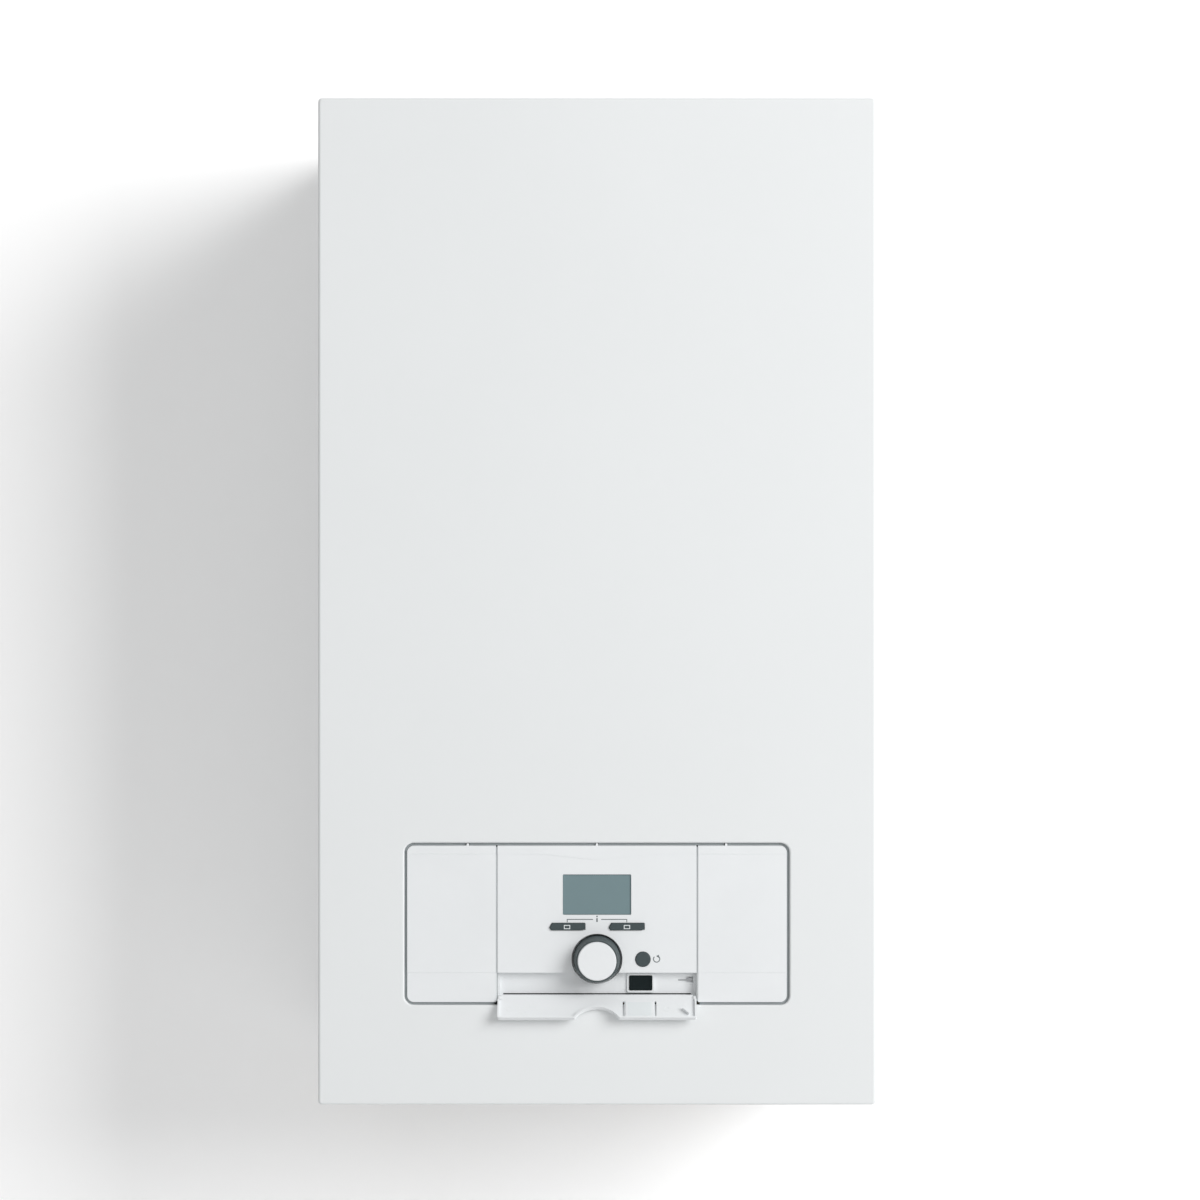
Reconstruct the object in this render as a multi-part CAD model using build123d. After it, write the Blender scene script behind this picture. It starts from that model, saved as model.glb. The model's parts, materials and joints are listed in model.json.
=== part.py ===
"""Wall-hung electric boiler: steel casing, control panel with a fold-down flap, and the water and power parts inside.

Millimetres, +Z up, +Y into the wall, +X to the right as seen from the front. The origin is the centre of the wall
bracket's two screw holes, on the wall. Inside this file every height is measured up from the underside of the
casing, and save() moves each piece down to the origin at the end.
"""

import os
from math import cos, radians, sin

from build123d import *

# Casing
CASE_W = 410.0
CASE_H = 740.0
CASE_D = 310.0
SHEET = 1.0
CASE_CORNER = 3.0
BEND = 2.2
FRONT_RETURN = 25.0
SEAM = 0.8
FLANGE = 12.0
HEM = 9.0
FIT = 0.3
SLIP = 0.05
EDGE_SET = 1.5

# Wall bracket
HOLE_DROP = 70.0
HOLE_PITCH = 240.0
HOLE_R = 4.5
BRACKET_W = 320.0
BRACKET_FLANGE = 18.0
BRACKET_T = 2.5
HOOK_OUT = 10.0
HOOK_UP = 12.0
RAIL_T = 2.0
BACK_GAP = 15.0

# Control panel and its cutout in the front casing
PANEL_W = 279.0
PANEL_H = 115.0
PANEL_CORNER = 5.0
PANEL_GAP = 2.0
PANEL_LOW = 75.5
COLLAR = 6.0
CUTOUT_EDGE = 1.4
FACE_BACK = 0.8
SKIN = 1.8
PANEL_DEPTH = 9.0
GROOVE = 1.2
FASCIA_W = 146.2
BAND_STEP = 0.3
LOW_STEP = 0.4
CREASE_HIGH = 184.3
CREASE_LOW = 97.1
SMILE_DIP = 3.8
SMILE_HALF = 48.0
LUG_X = 95.0
LUG_W = 1.8
LUG_H = 1.6

# Display
DISPLAY_W = 50.3
DISPLAY_H = 29.7
DISPLAY_Z = 154.5
GLASS_T = 1.2
GLASS_LAP = 1.7
MODULE_T = 6.0

# Knob
KNOB_Z = 107.0
WELL_R = 18.7
WELL_WALL = 1.6
WELL_DEPTH = 9.2
KNOB_R = 17.3
KNOB_TIP_R = 15.2
KNOB_OUT = 15.0
KNOB_TAIL = 7.7
CAP_R = 14.3
CAP_T = 1.9
SHAFT_R = 3.0
BUSH_R = 4.5

# Keys and buttons
KEY_W = 26.2
KEY_H = 5.2
KEY_X = 21.8
KEY_Z = 131.0
KEY_OUT = 1.3
KEY_TRAVEL = 0.7
RESET_X = 33.7
RESET_R = 5.5
RESET_TRAVEL = 0.8
KEY_LAP = 1.2
KEY_CLEAR = 0.25
STEM_R = 1.6
SWITCH_SIDE = 6.0
SWITCH_H = 4.0

# On/off button in the recessed strip
STRIP_DEPTH = 6.6
STRIP_FLOOR = 2.0
STRIP_WALL = 2.5
STRIP_SLOT = (80.3, 81.3)
ONOFF_X = 32.2
ONOFF_Z = 89.0
ONOFF_W = 16.7
ONOFF_H = 10.7
ONOFF_TRAVEL = 2.5
BEZEL_W = 1.4
BEZEL_UP = 1.5

# Flap, drawn closed and then laid open by FLAP_OPEN
FLAP_W = 146.0
FLAP_TOP = 96.4
FLAP_SKIN = 1.6
FLAP_RIM = 1.3
FLAP_RIM_UP = 2.0
FLAP_OPEN = 142.0
FLAP_CORNER = 1.5
HINGE_UP = 2.8
HINGE_IN = 1.0
HINGE_EDGE = 2.4
PIN_R = 0.9
EAR_R = 1.7
EAR_W = 1.8
NOTCH_R = 19.6
SLOT_W = 1.3
SLOT_LOW = 3.1
SLOT_HIGH = 16.4
TONGUE_X = (19.5, 43.0)
TONGUE_UP = 0.5

# Control electronics
BOX_WALL = 2.2
BOX_BACK_Y = -228.0
BOARD_T = 1.6
BOARD_Y = -290.0

# Water parts
TANK_X = -95.0
TANK_Y = -195.0
TANK_R = 56.0
TANK_LOW = 330.0
TANK_HIGH = 628.0
TANK_WALL = 2.0
TANK_SHOULDER = 12.0
FLANGE_R = 68.0
FLANGE_T = 10.0
COLLAR_T = 6.0
GASKET_T = 2.0
BOLT_PCD = 124.0
BOLT_COUNT = 6
BOLT_R = 3.0
FOAM_T = 16.0
ROD_R = 4.25
ROD_GAP = 9.0
ROD_RING = 26.0
PIPE_R = 9.0
PIPE_WALL = 1.0
BEND_PARTS = 3
FLOW_X = -150.0
PORT_Y = -110.0
RETURN_X = 80.0
THREAD_R = 13.2
THREAD_TOP = 13.0
NECK_R = 12.8
STUB_END = -18.0
BASE_PLATE = 22.0
BASE_T = 1.2
CHANNEL_D = 22.0
BORE_TOP = 62.0
NUT_H = 7.0
NUT_FLATS = 36.0
MANIFOLD_SIDE = 40.0
MANIFOLD_TOP = 110.0
BRANCH_Z = 86.0
PUMP_LOW = 130.0
PUMP_SPAN = 130.0
VOLUTE_R = 42.0
VOLUTE_T = 40.0
MOTOR_R = 40.0
MOTOR_L = 80.0
ROTOR_R = 28.0
PUMP_PORT_R = 14.0
RISER_Z = 292.0
VESSEL_Z = 500.0
VESSEL_R = 162.0
VESSEL_T = 95.0
VESSEL_PIPE_R = 5.0
VESSEL_PIPE_Y = -64.0
VESSEL_SHOULDER = 34.0
VESSEL_BEAD = 4.0
VESSEL_SEAM = 5.0
DISCHARGE_X = 22.0
DISCHARGE_R = 7.5
DISCHARGE_END = -12.0
BEAD_LOW = 9.0
VALVE_END = -8.0
VALVE_SOCKET = 74.0
DRAIN_X = 112.0
DRAIN_R = 6.0
DRAIN_END = -10.0
OUTLET_Z = 572.0
VENT_R = 9.0
VENT_H = 34.0
FLOW_DROP_X = -186.0
FLOW_TURN_Z = 96.0
FLOW_BEND = 12.0
RISER_BEND = 20.0

# Power parts
BAR_Y = -117.5
BAR_T = 2.0
BAR_H = 25.0
BAR_LOW = 345.0
BAR_HIGH = 600.0
PLATE_X = (10.0, 190.0)
PLATE_Z = (330.0, 660.0)
PLATE_T = 1.5
PLATE_STAND = 5.0
CONTACTOR_W = 45.0
CONTACTOR_H = 74.0
CONTACTOR_D = 78.0
CONTACTOR_Z = 540.0
TERMINAL_Z = 405.0
GLAND_X = (118.0, 150.0, 176.0)
GLAND_BORE = (9.0, 5.0, 5.0)
GLAND_Y = -180.0
GLAND_H = 16.0
SCREW_X = (-120.0, 120.0)
SCREW_R = 2.0

# Places that follow from the sizes above
BASE = HOLE_DROP - CASE_H
HOLE_Z = CASE_H - HOLE_DROP
FRONT_Y = -CASE_D
RETURN_Y = FRONT_Y + FRONT_RETURN
SIDE_Y = RETURN_Y + SEAM
BACK_Y = -BACK_GAP
INNER_X = CASE_W / 2 - FLANGE - FIT
PANEL_HIGH = PANEL_LOW + PANEL_H
PANEL_MID = PANEL_LOW + PANEL_H / 2
FACE_Y = FRONT_Y + FACE_BACK
LOW_FACE_Y = FACE_Y + LOW_STEP
PANEL_BACK_Y = FACE_Y + PANEL_DEPTH
STRIP_Y = LOW_FACE_Y + STRIP_DEPTH
BOX_Y = PANEL_BACK_Y + FIT
HINGE_Y = LOW_FACE_Y + HINGE_IN
HINGE_Z = PANEL_LOW + HINGE_UP
KNOB_BASE_Y = FACE_Y + KNOB_TAIL
KNOB_FRONT_Y = FACE_Y - KNOB_OUT
GLASS_Y = FACE_Y + SKIN + FIT
SWITCH_TIP_Y = BOARD_Y - SWITCH_H
FLANGE_LOW = TANK_HIGH + GASKET_T
FLANGE_HIGH = FLANGE_LOW + FLANGE_T
FOAM_R = TANK_R + FIT + FOAM_T
PUMP_HIGH = PUMP_LOW + PUMP_SPAN
PUMP_MID = PUMP_LOW + PUMP_SPAN / 2
MOTOR_Y = PORT_Y - VOLUTE_T / 2
BASE_TOP = BASE_PLATE + BASE_T
PLATE_Y = BAR_Y - BAR_T - PLATE_STAND
STUB_TOP = BASE_TOP + 16.0
SCREW_Y = SIDE_Y + 10.0


def block(x0, x1, y0, y1, z0, z1):
    """A block between two corners."""
    middle = Pos((x0 + x1) / 2, (y0 + y1) / 2, (z0 + z1) / 2)
    return middle * Box(x1 - x0, y1 - y0, z1 - z0)


def rod_x(x0, x1, y, z, r):
    """A round bar along X."""
    return Pos((x0 + x1) / 2, y, z) * Rot(0, 90, 0) * Cylinder(r, x1 - x0)


def rod_y(x, y0, y1, z, r):
    """A round bar along Y."""
    return Pos(x, (y0 + y1) / 2, z) * Rot(90, 0, 0) * Cylinder(r, y1 - y0)


def rod_z(x, y, z0, z1, r):
    """A round bar along Z."""
    return Pos(x, y, (z0 + z1) / 2) * Cylinder(r, z1 - z0)


def forward(outline, y_back, y_front):
    """A flat outline, drawn as seen from the front, given its depth."""
    return extrude(Plane.XZ.offset(-y_back) * outline, y_back - y_front)


def card(width, height, corner, x, z):
    """A rectangle with rounded corners as seen from the front."""
    return Pos(x, z) * RectangleRounded(width, height, corner)


def strip(x0, x1, z0, z1):
    """A plain rectangle as seen from the front."""
    return Pos((x0 + x1) / 2, (z0 + z1) / 2) * Rectangle(x1 - x0, z1 - z0)


def hex_nut(x, y, z0, z1, flats, bore):
    """A hexagon along Z, with a bore where one is given."""
    outline = RegularPolygon(flats / 2, 6, major_radius=False)
    if bore:
        outline -= Circle(bore)
    return Pos(x, y, z0) * extrude(outline, z1 - z0)


def tube(points, bend, radius):
    """A round bar along a list of points, whose bends are made of short straight lengths."""
    smooth = FilletPolyline(*points, radius=bend)
    spots = [smooth @ 0]
    for edge in smooth.order_edges():
        parts = 1 if edge.geom_type == GeomType.LINE else BEND_PARTS
        ends = [edge @ (k / parts) for k in range(parts + 1)]
        if (ends[0] - spots[-1]).length > 0.01:
            ends.reverse()
        spots += ends[1:]
    path = Polyline(*spots)
    start = Plane(origin=path @ 0, z_dir=path % 0)
    return sweep(start * Circle(radius), path, transition=Transition.RIGHT)


def save(name, piece):
    """Writes one piece, moved from the casing's underside to the origin at the wall bracket."""
    export_step(Pos(0, 0, BASE) * piece, f"parts/{name}.step")


def wall_bracket():
    """A folded steel bar on the wall with a lip that points up."""
    half = BRACKET_W / 2
    low = HOLE_Z - BRACKET_FLANGE
    high = HOLE_Z + BRACKET_FLANGE
    bar = block(-half, half, -BRACKET_T, 0, low, high)
    bar += block(-half, half, -HOOK_OUT, 0, high - BRACKET_T, high)
    bar += block(-half, half, -HOOK_OUT, BRACKET_T - HOOK_OUT, high - BRACKET_T, high + HOOK_UP)
    for side in (-1, 1):
        bar -= rod_y(side * HOLE_PITCH / 2, -BRACKET_T - 1, 1, HOLE_Z, HOLE_R)
    return bar


def hanger_rail():
    """The rail on the rear panel whose lip drops behind the wall bracket's lip."""
    half = BRACKET_W / 2 - 10
    shelf = HOLE_Z + BRACKET_FLANGE + HOOK_UP
    lip_y = -BRACKET_T - 1.2
    rail = block(-half, half, BACK_Y, BACK_Y + RAIL_T, shelf - 20, shelf + RAIL_T)
    rail += block(-half, half, BACK_Y, lip_y, shelf, shelf + RAIL_T)
    rail += block(-half, half, lip_y - RAIL_T, lip_y, shelf - HOOK_UP + 1, shelf + RAIL_T)
    return rail


def back_panel():
    """The flat rear sheet between the side panels, a little away from the wall."""
    sheet = card(2 * INNER_X, CASE_H - 2 * EDGE_SET, CASE_CORNER, 0, CASE_H / 2)
    return forward(sheet, BACK_Y, BACK_Y - SHEET)


def side_panel(side):
    """A side sheet with four inward flanges, the rear one on the wall."""
    outer_x = side * CASE_W / 2
    inner_x = side * (CASE_W / 2 - FLANGE)
    x0, x1 = min(outer_x, inner_x), max(outer_x, inner_x)
    pan = block(x0, x1, SIDE_Y, 0, 0, CASE_H)
    outer = pan.faces().sort_by(Axis.X)[-1 if side > 0 else 0]
    pan = fillet(outer.edges(), BEND)
    in_x0 = x0 - 1 if side > 0 else x0 + SHEET
    in_x1 = x1 - SHEET if side > 0 else x1 + 1
    inside = block(in_x0, in_x1, SIDE_Y + SHEET, -SHEET, SHEET, CASE_H - SHEET)
    inner = inside.faces().sort_by(Axis.X)[-1 if side > 0 else 0]
    return pan - fillet(inner.edges(), BEND - SHEET)


def top_panel():
    """The top sheet between the two sides, with its flanges turned down."""
    pan = block(-INNER_X, INNER_X, SIDE_Y, BACK_Y - SHEET - FIT, CASE_H - FLANGE, CASE_H)
    x = INNER_X - SHEET
    return pan - block(-x, x, SIDE_Y + SHEET, BACK_Y - 2 * SHEET - FIT, 0, CASE_H - SHEET)


def bottom_plate():
    """The plate that carries the pipe and cable entries."""
    plate = block(-INNER_X, INNER_X, SIDE_Y, BACK_Y - SHEET - FIT, BASE_PLATE, BASE_TOP)
    for x in (FLOW_X, RETURN_X):
        plate -= rod_z(x, PORT_Y, 0, 40, NECK_R + FIT)
    plate -= rod_z(DISCHARGE_X, PORT_Y, 0, 40, DISCHARGE_R + 1)
    plate -= rod_z(DRAIN_X, PORT_Y, 0, 40, DRAIN_R + 2)
    for x, bore in zip(GLAND_X, GLAND_BORE):
        plate -= rod_z(x, GLAND_Y, 0, 40, bore + 3 + FIT)
    return plate


def base_channel():
    """The folded channel under the bottom plate's front edge, which takes the casing screws."""
    low = SHEET + FIT
    channel = block(-INNER_X, INNER_X, SIDE_Y, SIDE_Y + BASE_T, low, BASE_PLATE)
    channel += block(-INNER_X, INNER_X, SIDE_Y, SIDE_Y + CHANNEL_D, low, low + BASE_T)
    for x in SCREW_X:
        channel -= rod_z(x, SCREW_Y, -1, 5, SCREW_R + SLIP)
    return channel


def front_casing():
    """The white front: one folded sheet with hemmed edges, a collared cutout and two screw tabs."""
    middle = CASE_H / 2
    shell = forward(card(CASE_W, CASE_H, CASE_CORNER, 0, middle), RETURN_Y, FRONT_Y)
    shell = fillet(shell.edges().group_by(Axis.Y)[0], BEND)
    width, height = CASE_W - 2 * SHEET, CASE_H - 2 * SHEET
    hollow = forward(card(width, height, CASE_CORNER - SHEET, 0, middle), RETURN_Y - SHEET, FRONT_Y + SHEET)
    mouth = card(CASE_W - 2 * HEM, CASE_H - 2 * HEM, CASE_CORNER, 0, middle)
    shell = shell - hollow - forward(mouth, RETURN_Y + 1, RETURN_Y - 2 * SHEET)
    cut_w, cut_h, cut_r = PANEL_W + 2 * PANEL_GAP, PANEL_H + 2 * PANEL_GAP, PANEL_CORNER + PANEL_GAP
    wall = card(cut_w + 2 * SHEET, cut_h + 2 * SHEET, cut_r + SHEET, 0, PANEL_MID)
    shell += forward(wall, FRONT_Y + COLLAR, FRONT_Y + SHEET / 2)
    hole = card(cut_w, cut_h, cut_r, 0, PANEL_MID)
    shell -= forward(hole, FRONT_Y + COLLAR + 1, FRONT_Y - 1)
    edge = shell.edges().group_by(Axis.Y)[0].filter_by(lambda e: abs(e.center().X) < cut_w / 2 + 1)
    edge = edge.filter_by(lambda e: abs(e.center().Z - PANEL_MID) < cut_h / 2 + 1)
    shell = fillet(edge, CUTOUT_EDGE)
    for x in SCREW_X:
        tab = block(x - 18, x + 18, RETURN_Y - SHEET, SCREW_Y + 10, 0, SHEET)
        shell += tab - rod_z(x, SCREW_Y, -1, 5, SCREW_R + FIT)
    return shell


def casing_screws():
    """Two pan-head screws that hold the front casing from below."""
    screws = []
    for x in SCREW_X:
        head = rod_z(x, SCREW_Y, -2.4, 0, 4)
        screws.append(head + rod_z(x, SCREW_Y, -0.5, 9, SCREW_R))
    return Compound(screws)


def crossbars():
    """Two steel bars from side to side that carry the tank and the power plate."""
    end = CASE_W / 2 - SHEET - FIT
    bars = []
    for z in (BAR_LOW, BAR_HIGH):
        bar = block(-end, end, BAR_Y - BAR_T, BAR_Y, z, z + BAR_H)
        for side in (-1, 1):
            tab = (side * end, side * (end - BAR_T))
            bar += block(min(tab), max(tab), BAR_Y - BAR_T, BAR_Y + 18, z, z + BAR_H)
        bars.append(bar)
    return Compound(bars)


def control_brackets():
    """Two folded brackets that hang the control box between the side sheets."""
    inner = PANEL_W / 2 + FIT
    outer = CASE_W / 2 - SHEET - FIT
    thick = 1.5
    front, back = -262.0, -236.0
    pieces = []
    for side in (-1, 1):
        pair = (side * inner, side * outer)
        piece = block(min(pair), max(pair), front, front + thick, 112, 152)
        for edge in (side * inner, side * (outer - thick)):
            tab = (edge, edge + side * thick)
            piece += block(min(tab), max(tab), front, back, 112, 152)
        pieces.append(piece)
    return Compound(pieces)


def control_box():
    """The plastic housing behind the control panel, open to the front."""
    box = forward(card(PANEL_W, PANEL_H, PANEL_CORNER, 0, PANEL_MID), BOX_BACK_Y, BOX_Y)
    width, height = PANEL_W - 2 * BOX_WALL, PANEL_H - 2 * BOX_WALL
    inside = card(width, height, PANEL_CORNER - BOX_WALL, 0, PANEL_MID)
    box -= forward(inside, BOX_BACK_Y - BOX_WALL, BOX_Y - 1)
    for x in (-60, 60):
        for z in (PANEL_LOW + 12, PANEL_HIGH - 12):
            box += rod_y(x, BOARD_Y + BOARD_T, BOX_BACK_Y - 1, z, 3)
    box -= block(90, 120, BOX_BACK_Y - 4, BOX_BACK_Y + 1, 120, 135)
    return box


def smile_band():
    """The strip of the fascia above its crease, which dips in a smooth curve over the display."""
    half = FASCIA_W / 2
    dip = Spline(
        (-SMILE_HALF, CREASE_HIGH),
        (0, CREASE_HIGH - SMILE_DIP),
        (SMILE_HALF, CREASE_HIGH),
        tangents=[(1, 0), (1, 0)],
    )
    top = Polyline(
        (SMILE_HALF, CREASE_HIGH),
        (half, CREASE_HIGH),
        (half, PANEL_HIGH),
        (-half, PANEL_HIGH),
        (-half, CREASE_HIGH),
        (-SMILE_HALF, CREASE_HIGH),
    )
    return make_face([dip, top])


def key_outline(grow):
    """A soft key's outline: a slanted left end and a rounded right end with a small step under it."""
    w, h = KEY_W / 2 + grow, KEY_H / 2 + grow
    outline = Polyline(
        (w, -h + 0.5),
        (w, h),
        (-w + 1.9, h),
        (-w, -0.6),
        (-w + 1.3, -h),
        (w - 2.2, -h),
        (w - 1.8, -h + 0.5),
        close=True,
    )
    face = make_face(outline)
    return fillet(face.vertices().sort_by(Axis.X)[-1], 0.9)


def control_fascia():
    """The moulded centre of the control panel, with display window, knob well, key holes and recessed strip."""
    half = FASCIA_W / 2
    main = strip(-half, half, CREASE_LOW, CREASE_HIGH + 2)
    fascia = forward(main, FACE_Y + SKIN, FACE_Y)
    fascia += forward(smile_band(), FACE_Y + SKIN, FACE_Y - BAND_STEP)
    walls = strip(-half, half, PANEL_LOW, PANEL_HIGH) - strip(
        SKIN - half, half - SKIN, PANEL_LOW - 1, PANEL_HIGH - SKIN
    )
    fascia += forward(walls, PANEL_BACK_Y, FACE_Y + SKIN / 2)
    fascia -= forward(strip(-half - 1, half + 1, 0, CREASE_LOW), STRIP_Y - STRIP_WALL, FRONT_Y - 1)
    fascia += forward(strip(-half, half, PANEL_LOW, CREASE_LOW + SKIN), STRIP_Y + STRIP_FLOOR, STRIP_Y)
    fascia += forward(strip(-half, half, CREASE_LOW, CREASE_LOW + SKIN), STRIP_Y + 1, FACE_Y)
    fascia += forward(strip(-half, half, PANEL_LOW, PANEL_LOW + SKIN), PANEL_BACK_Y, STRIP_Y)
    fascia += forward(strip(-LUG_W / 2, LUG_W / 2, PANEL_HIGH - 1, PANEL_HIGH + LUG_H), FACE_Y + 4, FACE_Y + 0.6)
    fascia -= forward(strip(4 - half, half - 4, *STRIP_SLOT), STRIP_Y + STRIP_FLOOR + 1, STRIP_Y - 1)
    for side in (-1, 1):
        ear_x = side * (FLAP_W / 2 - EAR_W / 2 - 0.4)
        x0, x1 = ear_x - EAR_W / 2, ear_x + EAR_W / 2
        fascia += block(x0, x1, HINGE_Y, STRIP_Y + 0.5, HINGE_Z - EAR_R, HINGE_Z + EAR_R)
        fascia += rod_x(x0, x1, HINGE_Y, HINGE_Z, EAR_R)
        fascia -= rod_x(x0 - 1, x1 + 1, HINGE_Y, HINGE_Z, PIN_R + SLIP)
    well = rod_y(0, FACE_Y + SKIN / 2, FACE_Y + WELL_DEPTH + WELL_WALL, KNOB_Z, WELL_R + WELL_WALL)
    well -= forward(strip(-50, 50, 50, CREASE_LOW), STRIP_Y + STRIP_FLOOR / 2, FRONT_Y)
    fascia += well
    fascia -= rod_y(0, FRONT_Y - 1, FACE_Y + WELL_DEPTH, KNOB_Z, WELL_R)
    fascia -= rod_y(0, FRONT_Y, BOX_Y + 20, KNOB_Z, BUSH_R + FIT)
    fascia -= forward(card(DISPLAY_W, DISPLAY_H, 0.8, 0, DISPLAY_Z), FACE_Y + SKIN + 1, FRONT_Y - 1)
    for side in (-1, 1):
        fascia -= forward(Pos(side * KEY_X, KEY_Z) * key_outline(KEY_CLEAR), FACE_Y + SKIN + 1, FRONT_Y - 1)
    fascia -= rod_y(RESET_X, FRONT_Y - 1, FACE_Y + SKIN + 1, KNOB_Z, RESET_R + KEY_CLEAR)
    rim = card(ONOFF_W + 2 * (KEY_CLEAR + BEZEL_W), ONOFF_H + 2 * (KEY_CLEAR + BEZEL_W), 1.6, ONOFF_X, ONOFF_Z)
    fascia += forward(rim, STRIP_Y + 1, STRIP_Y - BEZEL_UP)
    hole = card(ONOFF_W + 2 * KEY_CLEAR, ONOFF_H + 2 * KEY_CLEAR, 1.0, ONOFF_X, ONOFF_Z)
    fascia -= forward(hole, STRIP_Y + STRIP_FLOOR + 1, STRIP_Y - BEZEL_UP - 1)
    return fascia - latch_pocket()


def latch_pocket():
    """The wedge-shaped pocket in the strip that the flap's hook snaps into."""
    right = FASCIA_W / 2 - SKIN
    wedge = Polyline(
        (right - 14.5, STRIP_Y),
        (right - 0.6, STRIP_Y + 1.6),
        (right - 0.6, STRIP_Y - 0.5),
        (right - 14.5, STRIP_Y - 0.5),
        close=True,
    )
    return Pos(0, 0, 89.3) * extrude(make_face(wedge), 4.2)


def side_blank(side):
    """A plain moulded panel beside the fascia, at the same level and with the same creases."""
    inner = FASCIA_W / 2 + GROOVE
    outer = PANEL_W / 2
    x0, x1 = min(side * inner, side * outer), max(side * inner, side * outer)
    width, middle = x1 - x0, (x0 + x1) / 2
    outline = Pos(middle, PANEL_MID) * Rectangle(width, PANEL_H)
    corners = outline.vertices().sort_by(Axis.X)
    corners = corners[-2:] if side > 0 else corners[:2]
    outline = fillet(corners, PANEL_CORNER)
    inside = Pos(middle, PANEL_MID) * Rectangle(width - 2 * SKIN, PANEL_H - 2 * SKIN)
    corners = inside.vertices().sort_by(Axis.X)
    corners = corners[-2:] if side > 0 else corners[:2]
    inside = fillet(corners, PANEL_CORNER - SKIN)
    blank = forward(outline, PANEL_BACK_Y, FACE_Y - BAND_STEP)
    blank -= forward(inside, PANEL_BACK_Y + 1, FACE_Y + SKIN)
    blank -= forward(strip(x0 - 1, x1 + 1, 0, CREASE_HIGH), FACE_Y, FRONT_Y - 1)
    blank -= forward(strip(x0 - 1, x1 + 1, 0, CREASE_LOW), LOW_FACE_Y, FRONT_Y - 1)
    lug = strip(side * LUG_X - LUG_W / 2, side * LUG_X + LUG_W / 2, PANEL_HIGH - 1, PANEL_HIGH + LUG_H)
    blank += forward(lug, FACE_Y + 4, FACE_Y + 0.6)
    for z in (PANEL_LOW + 38, PANEL_LOW + 76):
        rib = strip(x0 + SKIN / 2, x1 - SKIN / 2, z, z + 1.4)
        blank += forward(rib, PANEL_BACK_Y - 3, FACE_Y + SKIN / 2)
    return blank


def display_window():
    """The clear lens, held behind the fascia's window."""
    lens = card(DISPLAY_W + 2 * GLASS_LAP, DISPLAY_H + 2 * GLASS_LAP, 1.0, 0, DISPLAY_Z)
    return forward(lens, GLASS_Y + GLASS_T, GLASS_Y)


def display_module():
    """The liquid-crystal module behind the lens."""
    y = GLASS_Y + GLASS_T + FIT
    body = forward(strip(-30, 30, DISPLAY_Z - 19, DISPLAY_Z + 19), y + MODULE_T, y)
    for x in (-26, 26):
        body += rod_y(x, y + MODULE_T - 1, BOARD_Y - FIT, DISPLAY_Z, 2.5)
    return body


def control_board():
    """The printed circuit board with the keys' switches and its larger parts soldered on."""
    board = forward(strip(-68, 68, PANEL_LOW + 5, PANEL_HIGH - 5), BOARD_Y + BOARD_T, BOARD_Y)
    spots = [(-KEY_X, KEY_Z), (KEY_X, KEY_Z), (RESET_X, KNOB_Z)]
    half = SWITCH_SIDE / 2
    for x, z in spots:
        board += block(x - half, x + half, SWITCH_TIP_Y + 1, BOARD_Y + 0.2, z - half, z + half)
        board += rod_y(x, SWITCH_TIP_Y, BOARD_Y, z, STEM_R)
    back = BOARD_Y + BOARD_T
    board += block(-50, -15, back - 0.2, back + 32, 95, 125)
    for x in (8, 28, 48):
        board += block(x - 8, x + 8, back - 0.2, back + 18, 150, 178)
    board += rod_y(-45, back - 0.2, back + 28, 160, 9)
    return board


def rotary_encoder():
    """The encoder on the board that reads the knob, with its bush."""
    front = BOARD_Y - 7
    body = block(-6.5, 6.5, front, BOARD_Y, KNOB_Z - 6.5, KNOB_Z + 6.5)
    body += rod_y(0, KNOB_BASE_Y + 0.5, front + 1, KNOB_Z, BUSH_R)
    return body - rod_y(0, KNOB_BASE_Y, BOARD_Y - 1, KNOB_Z, SHAFT_R + SLIP)


def knob_shaft():
    """The encoder's shaft, which turns with the knob."""
    return rod_y(0, KNOB_FRONT_Y + 6, BOARD_Y - 1.5, KNOB_Z, SHAFT_R)


def knob_body():
    """The grey tapered knob with a recess for its cap and a blind bore for the shaft."""
    front = KNOB_FRONT_Y
    profile = Polyline(
        (0, -front - CAP_T),
        (CAP_R + 0.1, -front - CAP_T),
        (CAP_R + 0.1, -front),
        (KNOB_TIP_R - 0.3, -front),
        (KNOB_TIP_R, -front - 0.5),
        (KNOB_R, -FACE_Y),
        (KNOB_R, -KNOB_BASE_Y),
        (0, -KNOB_BASE_Y),
        close=True,
    )
    turned = Plane(origin=(0, 0, KNOB_Z), x_dir=(1, 0, 0), z_dir=(0, 0, -1))
    body = revolve(turned * make_face(profile), Axis((0, 0, KNOB_Z), (0, 1, 0)), 360)
    return body - rod_y(0, KNOB_FRONT_Y + 5.7, KNOB_BASE_Y + 1, KNOB_Z, SHAFT_R + SLIP)


def knob_cap():
    """The white disc set in the knob's front, slightly crowned."""
    cap = rod_y(0, KNOB_FRONT_Y - 0.2, KNOB_FRONT_Y + CAP_T - SLIP, KNOB_Z, CAP_R)
    return chamfer(cap.edges().group_by(Axis.Y)[0], 0.6)


def softkey(side):
    """A grey soft key with a lip behind the fascia and a stem over its switch."""
    place = Pos(side * KEY_X, KEY_Z)
    key = forward(place * key_outline(0), FACE_Y + SKIN + FIT, FACE_Y - KEY_OUT)
    key = chamfer(key.edges().group_by(Axis.Y)[0], 0.3)
    lip_y = FACE_Y + SKIN + FIT
    lip = place * Rectangle(KEY_W + 2 * KEY_LAP, KEY_H + 1.2)
    key += forward(lip, lip_y + 1, lip_y)
    tip = SWITCH_TIP_Y - KEY_TRAVEL - 0.1
    return key + rod_y(side * KEY_X, lip_y + 0.5, tip, KEY_Z, STEM_R)


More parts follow.
